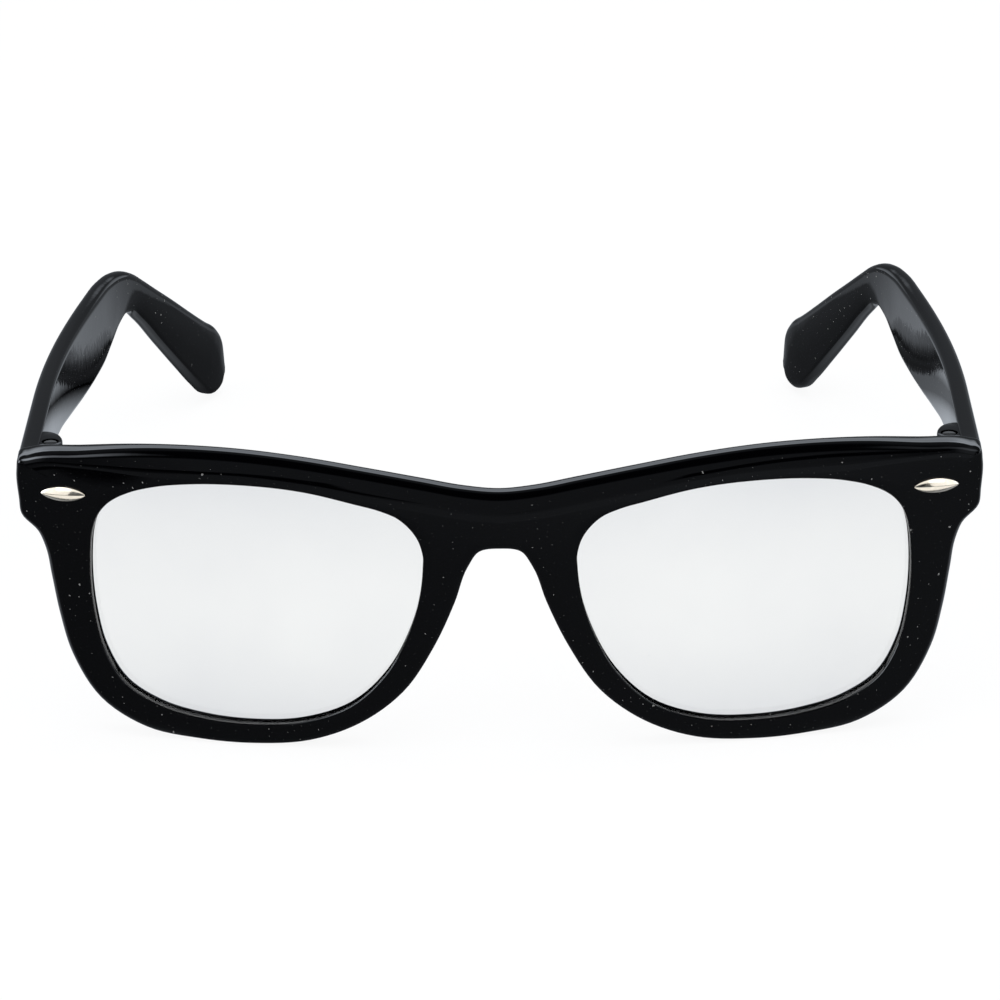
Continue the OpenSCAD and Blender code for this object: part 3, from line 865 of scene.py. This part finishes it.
def run_tree(obj, tree, ids, values, name, degrees):
    step = obj.modifiers.new("shape", "NODES")
    step.node_group = tree
    for label, value in values.items():
        step[ids[label]] = value
    made = plain_mesh(obj, name)
    outward(made.data)
    smooth(made, degrees)
    return made


# %% One sheet of a lens
def bent_sheet(tree, given, rings, depth=None):
    """A grid spread from the middle to the edge curve, bent at one depth. Without a
    depth it is the wall between the two faces."""
    grid = add(tree, "GeometryNodeMeshGrid", named={"Size X": 1.0, "Size Y": 1.0,
                                                    "Vertices X": 289, "Vertices Y": rings})
    at = add(tree, "GeometryNodeInputPosition")
    part = add(tree, "ShaderNodeSeparateXYZ", at)
    around = add(tree, "ADD", part, 0.5)
    out = add(tree, "ADD", part.outputs[1], 0.5)
    edge = add(tree, "GeometryNodeSampleCurve",
               named={"Curves": given.outputs["Geometry"], "Factor": around},
               mode="FACTOR", use_all_curves=True)
    spread = add(tree, "ShaderNodeMix", named={0: out if depth else 1.0,
                                               4: given.outputs["Middle"],
                                               5: edge.outputs["Position"]},
                 data_type="VECTOR")
    flat = add(tree, "ShaderNodeSeparateXYZ", spread.outputs[1])
    wrap = given.outputs["Wrap radius"]
    angle = add(tree, "DIVIDE", flat, wrap)
    if depth:
        deep = given.outputs[depth]
    else:
        near, far = given.outputs["Front face depth"], given.outputs["Back face depth"]
        thick = add(tree, "SUBTRACT", far, near)
        deep = add(tree, "MULTIPLY_ADD", thick, out, near)
    radius = add(tree, "SUBTRACT", wrap, deep)
    sine = add(tree, "SINE", angle)
    cosine = add(tree, "COSINE", angle)
    x = add(tree, "MULTIPLY", radius, sine)
    y = add(tree, "MULTIPLY", radius, cosine)
    y = add(tree, "SUBTRACT", wrap, y)
    place = add(tree, "ShaderNodeCombineXYZ", x, y, flat.outputs[2])
    return add(tree, "GeometryNodeSetPosition", named={"Geometry": grid, "Position": place})


# %% The lens tree
lens_tree, given, lens_ids = tree_with("bent_lens", {
    "Wrap radius": "Float", "Front face depth": "Float", "Back face depth": "Float",
    "Middle": "Vector", "Place": "Vector", "Material": "Material"})
sheets = [bent_sheet(lens_tree, given, 14, "Front face depth"),
          bent_sheet(lens_tree, given, 14, "Back face depth"), bent_sheet(lens_tree, given, 3)]
joined = add(lens_tree, "GeometryNodeJoinGeometry")
for sheet in sheets:
    lens_tree.links.new(sheet.outputs[0], joined.inputs[0])
merged = add(lens_tree, "GeometryNodeMergeByDistance", named={"Geometry": joined,
                                                              "Distance": 2e-6})
moved = add(lens_tree, "GeometryNodeTransform", named={"Geometry": merged,
                                                       "Translation": given.outputs["Place"]})
end_tree(lens_tree, given, moved)


# %% The two lenses
def edge_curve(side):
    line = bpy.data.curves.new("lens_edge", "CURVE")
    line.dimensions = "3D"
    spline = line.splines.new("POLY")
    spline.points.add(COUNT - 1)
    for k in range(COUNT):
        p = opening[k] + in_dir(k) * (GROOVE - 0.04)
        spline.points[k].co = (side * p.x * MM, 0, p.y * MM, 1)
    spline.use_cyclic_u = True
    return place_object("lens_edge", line)


def lens(side, name):
    return run_tree(edge_curve(side), lens_tree, lens_ids, {
        "Wrap radius": WRAP * MM,
        "Front face depth": (GROOVE_BACK + CLEAR) * MM,
        "Back face depth": (GROOVE_BACK + CLEAR + LENS_T) * MM,
        "Middle": (side * LENS_MID * FLAT * MM, 0, 23.2 * MM),
        "Place": (0, FRONT_Y, -RIM_LOW * MM),
        "Material": lens_plastic}, name, 32)


lens_left = lens(-1, "lens_left_clear")
lens_right = lens(1, "lens_right_clear")

# %% [markdown]
# ## Screws by rule
# The two hinge screws are alike, so one tree makes them: a turned shank, a head with a
# small chamfer, and a slot sawn across it. Each screw turns with its temple, so the tree
# runs once for each body.


# %% One turned length of a screw
def stack(tree, radius, top_radius, height, base):
    cone = add(tree, "GeometryNodeMeshCone",
               named={"Vertices": 64, "Radius Top": top_radius, "Radius Bottom": radius,
                      "Depth": height})
    lift = add(tree, "ShaderNodeCombineXYZ", named={2: base})
    return add(tree, "GeometryNodeTransform", named={"Geometry": cone, "Translation": lift})


# %% The screw tree
screw_tree, given, screw_ids = tree_with("hinge_screw", {
    "Shank radius": "Float", "Shank length": "Float", "Head radius": "Float",
    "Head height": "Float", "Slot width": "Float", "Slot depth": "Float",
    "Place": "Vector", "Material": "Material"})
chamfer = 0.12 * MM
shank_r, length = given.outputs["Shank radius"], given.outputs["Shank length"]
head_r, head_h = given.outputs["Head radius"], given.outputs["Head height"]
upright = add(screw_tree, "SUBTRACT", head_h, chamfer)
shoulder = add(screw_tree, "ADD", length, upright)
top_r = add(screw_tree, "SUBTRACT", head_r, chamfer)
turned = add(screw_tree, "GeometryNodeMeshBoolean", operation="UNION", solver="EXACT")
for part in (stack(screw_tree, shank_r, shank_r, shoulder, 0.0),
             stack(screw_tree, head_r, head_r, upright, length),
             stack(screw_tree, head_r, top_r, chamfer, shoulder)):
    screw_tree.links.new(part.outputs[0], turned.inputs["Mesh 2"])
saw_deep = add(screw_tree, "MULTIPLY", given.outputs["Slot depth"], 2.0)
saw = add(screw_tree, "ShaderNodeCombineXYZ", 4 * MM, given.outputs["Slot width"], saw_deep)
saw_at = add(screw_tree, "ShaderNodeCombineXYZ", named={2: add(screw_tree, "ADD", length, head_h)})
blade = add(screw_tree, "GeometryNodeMeshCube", named={"Size": saw})
blade = add(screw_tree, "GeometryNodeTransform", named={"Geometry": blade, "Translation": saw_at})
cut = add(screw_tree, "GeometryNodeMeshBoolean", named={"Mesh 1": turned, "Mesh 2": blade},
          operation="DIFFERENCE", solver="EXACT")
moved = add(screw_tree, "GeometryNodeTransform", named={"Geometry": cut,
                                                        "Translation": given.outputs["Place"]})
end_tree(screw_tree, given, moved)


# %% The two screws
def screw(side, name):
    return run_tree(new_object(name, [(0, 0, 0)], [], steel), screw_tree, screw_ids, {
        "Shank radius": 0.8 * MM, "Shank length": (HEAD_Z - LOW_Z - 0.08) * MM,
        "Head radius": 1.15 * MM, "Head height": 0.8 * MM, "Slot width": 0.4 * MM,
        "Slot depth": 0.44 * MM, "Place": spot(side * AXIS_X, AXIS_Y, LOW_Z + 0.1),
        "Material": steel}, name, 25)


screw_left = screw(-1, "screw_left_turned")
screw_right = screw(1, "screw_right_turned")

# %% [markdown]
# ## Marquise trims by rule
# Each end piece carries a pointed oval of plated metal with a ridge along its length. A
# grid is shaped by rule: its width shrinks to nothing at both ends as two arcs do, and
# its height rises to the ridge. Two points hold the two places, and the tree sets one
# trim on each, turned to the wrap of the front and tilted a little across its length.


# %% One sheet of a trim
def trim_sheet(tree, given, part_name):
    rows = 25 if part_name in ("face", "back") else 2
    grid = add(tree, "GeometryNodeMeshGrid", named={"Size X": 2.0, "Size Y": 2.0,
                                                    "Vertices X": 49, "Vertices Y": rows})
    at = add(tree, "GeometryNodeInputPosition")
    part = add(tree, "ShaderNodeSeparateXYZ", at)
    # more grid lines near the points of the oval, where it narrows
    turn = add(tree, "MULTIPLY", part, math.pi / 2)
    u = add(tree, "SINE", turn)
    v = {"upper wall": 1.0, "lower wall": -1.0}.get(part_name, part.outputs[1])
    square = add(tree, "MULTIPLY", u, u)
    width = add(tree, "SUBTRACT", 1.0, square)
    width = add(tree, "MAXIMUM", width, 0.0)
    width = add(tree, "POWER", width, given.outputs["Pointedness"])
    half_long = add(tree, "MULTIPLY", given.outputs["Length"], 0.5)
    half_high = add(tree, "MULTIPLY", given.outputs["Height"], 0.5)
    x = add(tree, "MULTIPLY", u, half_long)
    z = add(tree, "MULTIPLY", v, width)
    z = add(tree, "MULTIPLY", z, half_high)
    rim, seat = given.outputs["Rim"], given.outputs["Seat"]
    if part_name == "face":
        fall = add(tree, "ABSOLUTE", v)
        fall = add(tree, "POWER", fall, 1.45)
        rise = add(tree, "SUBTRACT", 1.0, fall)
        rise = add(tree, "MULTIPLY", rise, width)
        y = add(tree, "MULTIPLY_ADD", rise, given.outputs["Ridge"], rim)
    elif part_name == "back":
        y = seat
    else:
        up = add(tree, "MULTIPLY_ADD", part.outputs[1], 0.5, 0.5)
        wall = add(tree, "SUBTRACT", rim, seat)
        y = add(tree, "MULTIPLY_ADD", up, wall, seat)
    place = add(tree, "ShaderNodeCombineXYZ", x, add(tree, "MULTIPLY", y, -1.0), z)
    return add(tree, "GeometryNodeSetPosition", named={"Geometry": grid, "Position": place})


# %% The trim tree
trim_tree, given, trim_ids = tree_with("marquise_trim", {
    "Length": "Float", "Height": "Float", "Ridge": "Float", "Rim": "Float", "Seat": "Float",
    "Pointedness": "Float", "Turn": "Float", "Tilt": "Float", "Material": "Material"})
joined = add(trim_tree, "GeometryNodeJoinGeometry")
for part_name in ("face", "back", "upper wall", "lower wall"):
    trim_tree.links.new(trim_sheet(trim_tree, given, part_name).outputs[0], joined.inputs[0])
oval = add(trim_tree, "GeometryNodeMergeByDistance", named={"Geometry": joined, "Distance": 2e-6})
points = add(trim_tree, "GeometryNodeMeshToPoints", named={"Mesh": given.outputs["Geometry"]})
spots = add(trim_tree, "GeometryNodeInputPosition")
hand = add(trim_tree, "SIGN", add(trim_tree, "ShaderNodeSeparateXYZ", spots))
tilt = add(trim_tree, "MULTIPLY", hand, given.outputs["Tilt"])
turn = add(trim_tree, "MULTIPLY", hand, given.outputs["Turn"])
placed = add(trim_tree, "GeometryNodeInstanceOnPoints", named={
    "Points": points, "Instance": oval,
    "Rotation": add(trim_tree, "ShaderNodeCombineXYZ", named={1: tilt, 2: turn})})
end_tree(trim_tree, given, placed)

# %% The two trims
TRIM_IN = 7.4
TRIM_DOWN = 8
trim_angle = math.asin(FRONT_HALF / WRAP) - TRIM_IN / WRAP
trim_z = max(p.y for p in outline) - TRIM_DOWN
trim_spots = [spot(side * WRAP * math.sin(trim_angle), WRAP * (1 - math.cos(trim_angle)), trim_z)
              for side in (-1, 1)]
trims = run_tree(new_object("trims", trim_spots, [], nickel), trim_tree, trim_ids, {
    "Length": 7.0 * MM, "Height": 2.3 * MM, "Ridge": 0.5 * MM, "Rim": 0.2 * MM,
    "Seat": 0.02 * MM, "Pointedness": 0.72, "Turn": trim_angle,
    "Tilt": math.radians(2.2), "Material": nickel}, "marquise_trims", 40)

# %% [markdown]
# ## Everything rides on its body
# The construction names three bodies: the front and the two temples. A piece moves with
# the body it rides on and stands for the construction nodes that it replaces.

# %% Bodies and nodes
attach(front, "front")
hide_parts("front_frame")
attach(lens_left, "front")
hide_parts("lens_left")
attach(lens_right, "front")
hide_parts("lens_right")
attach(trims, "front")
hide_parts("rivet_left", "rivet_right")
for side, arm, pin in (("left", temple_left, screw_left), ("right", temple_right, screw_right)):
    body = "temple_" + side + "_body"
    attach(arm, body)
    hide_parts("temple_" + side)
    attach(pin, body)
    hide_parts("hinge_screw_" + side)

# %% [markdown]
# ## Floor, light and camera
# The pair stands on a plain pale floor under soft light. Black plastic shows only what it
# mirrors, so the studio around it matters more than the lamps. To the camera, and through
# the lenses, floor and room are white. A glossy ray meets other levels on them: a white
# wall behind the pair, which draws the pale line along the top of the brow, and a dim
# room in front of it, which keeps the face black. These levels and patches are no real
# studio. They were set until the reflections looked like the photo's.

# %% Levels of the floor, as the gloss sees them
# each stop is a distance in metres behind the middle, and how bright the floor is there
IN_FRONT = ((-0.567, 0.0), (-0.42, 0.03), (-0.36, 0.15), (-0.3, 0.18), (-0.168, 0.18),
            (-0.158, 0.2), (-0.148, 0.14), (-0.13, 0.115), (-0.067, 0.105))
BETWEEN_TEMPLES = ((0.05, 0.12), (0.07, 0.13), (0.085, 0.18), (0.25, 0.15))
BESIDE_TEMPLES = ((0.05, 0.6), (0.0535, 0.52), (0.0575, 0.3), (0.061, 0.1), (0.0635, 0.0),
                  (0.25, 0.0))
FAR_BEHIND = ((0.08, 0.0), (0.088, 0.0), (0.096, 0.44), (0.115, 0.47), (0.13, 0.4),
              (0.15, 0.25), (0.2, 0.18), (0.28, 0.18))


def levels_along(tree, way, stops):
    start, length = stops[0][0], stops[-1][0] - stops[0][0]
    share = add(tree, RANGE, way, start, start + length)
    levels = add(tree, "ShaderNodeValToRGB", share)
    row = levels.color_ramp.elements
    row[0].color, row[1].color = [(v, v, v, 1) for v in (stops[0][1], stops[-1][1])]
    for at, value in stops[1:-1]:
        row.new((at - start) / length).color = (value, value, value, 1)
    return levels


# %% The floor in front of the pair
def floor_before(tree, place, across, back):
    level = levels_along(tree, back, IN_FRONT)
    rightward = add(tree, RANGE, across, -0.08, 0.08, 0.9, 1.35)
    level = add(tree, "MULTIPLY", level, rightward)
    # far in front it stays pale on the right
    far_right = add(tree, RANGE, across, -0.08, -0.03, 0.0, 0.16)
    far = add(tree, "LESS_THAN", back, -0.3)
    far_right = add(tree, "MULTIPLY", far_right, far)
    level = add(tree, "MAXIMUM", level, far_right)
    # on the left it is dim, except close to the pair
    dim_left = add(tree, RANGE, across, -0.155, -0.125, 0.2, 1.0)
    near = add(tree, RANGE, back, -0.145, -0.13)
    dim_left = add(tree, "MAXIMUM", dim_left, near)
    level = add(tree, "MULTIPLY", level, dim_left)
    # a dark patch, placed to give the dark spot that the photo shows above the left trim
    dark = add(tree, VECTORS, place, (0.116, 0.146, 0))
    dark = add(tree, VECTORS, dark, (1 / 0.022, 1 / 0.009, 0), operation="MULTIPLY")
    apart = add(tree, VECTORS, dark, operation="LENGTH")
    clear_of = add(tree, RANGE, apart.outputs["Value"], 0.7, 1.15, 0.06, 1.0, **SOFT)
    return add(tree, "MULTIPLY", level, clear_of)


# %% The floor between, beside and behind the temples
def floor_after(tree, across, back):
    aside = add(tree, "ABSOLUTE", across)
    # the far pale part begins nearer to the front on the outside than in the middle
    slanted = add(tree, "MULTIPLY_ADD", aside, 0.45, back)
    lowest = add(tree, RANGE, across, -0.02, 0.02, 0.0, 0.2)
    beside = add(tree, "MAXIMUM", levels_along(tree, back, BESIDE_TEMPLES), lowest)
    outer = add(tree, RANGE, aside, 0.046, 0.051, **SOFT)
    close = add(tree, "ShaderNodeMix", named={0: outer, 3: beside,
                                              2: levels_along(tree, back, BETWEEN_TEMPLES)})
    return add(tree, "MAXIMUM", close, levels_along(tree, slanted, FAR_BEHIND))


# %% The floor
def pale_paper(name):
    """Matt white paper: no gloss, and a shade under white, so that it keeps a shadow. To glossy
    rays it glows instead in painted levels, which draw painted reflections on the pair.
    """
    paper = bpy.data.materials.new(name)
    paper.use_nodes = True
    tree = paper.node_tree
    tree.nodes.remove(tree.nodes["Principled BSDF"])
    rays = add(tree, "ShaderNodeLightPath")
    through = rays.outputs["Is Transmission Ray"]
    seen = add(tree, "MAXIMUM", rays.outputs["Is Camera Ray"], through)
    seen = add(tree, "MULTIPLY", seen, 0.86)
    matt = add(tree, "ShaderNodeBsdfDiffuse", named={"Color": srgb("#F0F0F0")})
    bright = add(tree, "ShaderNodeEmission", named={"Color": srgb("#FFFFFF"), "Strength": 1.06})
    plain = add(tree, "ShaderNodeMixShader", seen, matt, bright)
    place = add(tree, "ShaderNodeTexCoord").outputs["Object"]
    part = add(tree, "ShaderNodeSeparateXYZ", place)
    across, back = part.outputs[0], part.outputs[1]
    behind = add(tree, RANGE, back, -0.068, -0.05, **SOFT)
    level = add(tree, "ShaderNodeMix", named={
        0: behind, 2: floor_before(tree, place, across, back),
        3: floor_after(tree, across, back)})
    mirror = add(tree, "ShaderNodeEmission", named={"Color": srgb("#EDF5FF"),
                                                    "Strength": level})
    mirrored = add(tree, "SUBTRACT", rays.outputs["Is Glossy Ray"], through)
    mirrored = add(tree, "MAXIMUM", mirrored, 0.0)
    whole = add(tree, "ShaderNodeMixShader", mirrored, plain, mirror)
    tree.links.new(whole.outputs[0], tree.nodes["Material Output"].inputs["Surface"])
    return paper


floor = new_object("floor", [(-4, -4, 0), (4, -4, 0), (4, 4, 0), (-4, 4, 0)],
                   [(0, 1, 2, 3)], pale_paper("pale_paper_sweep"))
print("floor", floor.data.materials[0].name)


# %% The wall behind the pair, as the gloss sees it
def back_wall(tree, off, deep, high):
    """Dim low down, white from 22 to 42 degrees up, and brighter far out to the sides."""
    white = add(tree, "ADD", add(tree, RANGE, high, 0.25, 0.41, **SOFT),
                add(tree, RANGE, high, 0.5, 0.6, 0.0, 0.6, **SOFT))
    white = add(tree, "MULTIPLY", white, add(tree, RANGE, off, 0.15, 0.36, 1.35, 2.3, **SOFT))
    low = add(tree, "ADD", white, 0.14)
    low = add(tree, "MAXIMUM", low, add(tree, RANGE, off, 0.4, 0.62, **SOFT))
    wall = add(tree, "ShaderNodeMix", named={
        0: add(tree, RANGE, high, 0.64, 0.72, **SOFT), 2: low, 3: 0.12})
    wall = add(tree, "MULTIPLY", wall, add(tree, RANGE, high, 0.9, 0.98, 1.0, 0.0, **SOFT))
    return add(tree, "MULTIPLY", wall, add(tree, RANGE, deep, -0.02, 0.06, **SOFT))


# %% The ceiling over the front
def dim_ceiling(tree, across, off, deep, high):
    """It slants down to the left, dark right overhead."""
    slant = add(tree, "SUBTRACT", high, 0.255)
    slant = add(tree, "MULTIPLY_ADD", across, -0.8, slant)
    gap = add(tree, "MULTIPLY", add(tree, RANGE, slant, -0.27, -0.2, **SOFT),
              add(tree, RANGE, slant, -0.03, 0.04, 1.0, 0.0, **SOFT))
    gap = add(tree, "MULTIPLY", gap, add(tree, RANGE, off, 0.07, 0.12, **SOFT))
    gap = add(tree, "SUBTRACT", 1.0, gap)
    strip = add(tree, "MULTIPLY", add(tree, RANGE, deep, -0.66, -0.54, 0.15, 0.0, **SOFT), gap)
    return add(tree, "MULTIPLY", strip, add(tree, RANGE, off, 0.35, 0.5, 1.0, 0.5, **SOFT))


# %% Bright patches to the sides
def side_patches(tree, across, off, deep):
    """They draw a second line on the brow, brighter towards its ends and on the left."""
    glow = add(tree, "ADD", add(tree, RANGE, off, 0.32, 0.44, 0.0, 2.2, **SOFT),
               add(tree, RANGE, off, 0.45, 0.75, 0.0, 4.5, **SOFT))
    glow = add(tree, "MULTIPLY", glow, add(tree, RANGE, across, -0.1, 0.1, 1.0, 0.17, **SOFT))
    near = add(tree, "MULTIPLY", add(tree, RANGE, deep, -0.5, -0.32, **SOFT),
               add(tree, RANGE, deep, -0.14, -0.05, 1.0, 0.0, **SOFT))
    return add(tree, "MULTIPLY", glow, near)


# %% The room around
def studio_room(name):
    world = bpy.data.worlds.new(name)
    world.use_nodes = True
    tree = world.node_tree
    rays = add(tree, "ShaderNodeLightPath")
    place = add(tree, "ShaderNodeTexCoord")
    part = add(tree, "ShaderNodeSeparateXYZ", place.outputs["Generated"])
    across, deep, high = part.outputs[0], part.outputs[1], part.outputs[2]
    off = add(tree, "ABSOLUTE", across)
    room = add(tree, "MAXIMUM", back_wall(tree, off, deep, high),
               dim_ceiling(tree, across, off, deep, high))
    room = add(tree, "MAXIMUM", room, side_patches(tree, across, off, deep))
    # the side walls, which the rounded edges of the temples show
    room = add(tree, "MAXIMUM", room, add(tree, RANGE, off, 0.5, 0.7, 0.0, 0.3, **SOFT))
    seen = add(tree, "MAXIMUM", rays.outputs["Is Camera Ray"], rays.outputs["Is Transmission Ray"])
    level = add(tree, "ShaderNodeMix", named={0: rays.outputs["Is Glossy Ray"], 2: 0.45, 3: room})
    strength = add(tree, "ShaderNodeMix", named={0: seen, 2: level, 3: 1.0})
    tint = add(tree, "ShaderNodeMix", named={0: seen, 6: srgb("#EDF5FF"), 7: srgb("#FFFFFF")},
               data_type="RGBA")
    tree.links.new(strength.outputs[0], tree.nodes["Background"].inputs["Strength"])
    tree.links.new(tint.outputs[2], tree.nodes["Background"].inputs["Color"])
    return world


bpy.context.scene.world = studio_room("soft_studio")
print("room", bpy.context.scene.world.name)


# %% The lamps
def softbox(name, place, target, size, power):
    lamp = bpy.data.lights.new(name, "AREA")
    lamp.shape = "RECTANGLE"
    lamp.size, lamp.size_y = size
    lamp.energy = power
    made = place_object(name, lamp)
    made.location = place
    aim = Vector(target) - Vector(place)
    made.rotation_euler = aim.to_track_quat("-Z", "Y").to_euler()
    return made


for lamp in (softbox("overhead_softbox", (0.1, -0.15, 0.9), (0, 0, 0), (0.9, 0.9), 4.0),
             softbox("left_softbox", (-0.8, -0.5, 0.6), (0, 0, 0.02), (0.6, 0.6), 2.0)):
    lamp.visible_glossy = False
# the metal alone mirrors four more lamps, like white cards held in front and below
face, below = (0, FRONT_Y, 0.035), FRONT_Y - 0.06
cards = [softbox("side_card", (-0.49, -0.42, 0.15), face, (0.55, 0.6), 1.3),
         softbox("side_card", (0.49, -0.42, 0.15), face, (0.55, 0.6), 1.3),
         softbox("upper_card", (0, -0.5, 0.38), face, (1.0, 0.16), 0.6),
         softbox("low_card", (0, below, 0.001), (0, below, 1), (0.3, 0.12), 0.13)]
shiny = bpy.data.collections.new("metal_pieces")
shiny.objects.link(trims)
for lamp in cards:
    lamp.light_linking.receiver_collection = shiny
    lamp.visible_camera = False
    lamp.visible_transmission = False
print("lamps", len(bpy.data.lights))

# %% [markdown]
# The camera stands 85 cm away and looks down by 26 degrees, through a long lens. Its place,
# tilt and focal length come from matching the outline of the construction to the picture.

# %% The camera
DISTANCE = 0.850
DOWN = math.radians(25.85)
ROLL = math.radians(0.78)
YAW = math.radians(0.491)
FOCAL = 5.69  # in widths of the picture
SENSOR = 36
look_at = Vector((0, FRONT_Y, 0.04257))
right = Vector((math.cos(YAW), math.sin(YAW), 0))
ahead = Vector((-math.sin(YAW), math.cos(YAW), 0))
upright = Vector((0, 0, 1))
place = look_at - ahead * DISTANCE * math.cos(DOWN) + upright * DISTANCE * math.sin(DOWN)
view = ahead * math.cos(DOWN) - upright * math.sin(DOWN)
over = ahead * math.sin(DOWN) + upright * math.cos(DOWN)
side_axis = right * math.cos(ROLL) - over * math.sin(ROLL)
up_axis = right * math.sin(ROLL) + over * math.cos(ROLL)
lens_data = bpy.data.cameras.new("camera")
lens_data.sensor_width = SENSOR
lens_data.lens = SENSOR * FOCAL
lens_data.shift_x = 0.0008
lens_data.shift_y = 0.0003
lens_data.clip_start = 0.01
camera = place_object("camera", lens_data)
turned = Matrix((side_axis, up_axis, -view)).transposed()
camera.matrix_world = Matrix.Translation(place) @ turned.to_4x4()
bpy.context.scene.camera = camera
bpy.context.scene.view_settings.view_transform = "Standard"
print("camera at", [round(v, 3) for v in place], "lens", round(lens_data.lens, 1))

# %% [markdown]
# ## The end
# The last step brings the view layer up to date.

# %% Finish
bpy.context.view_layer.update()
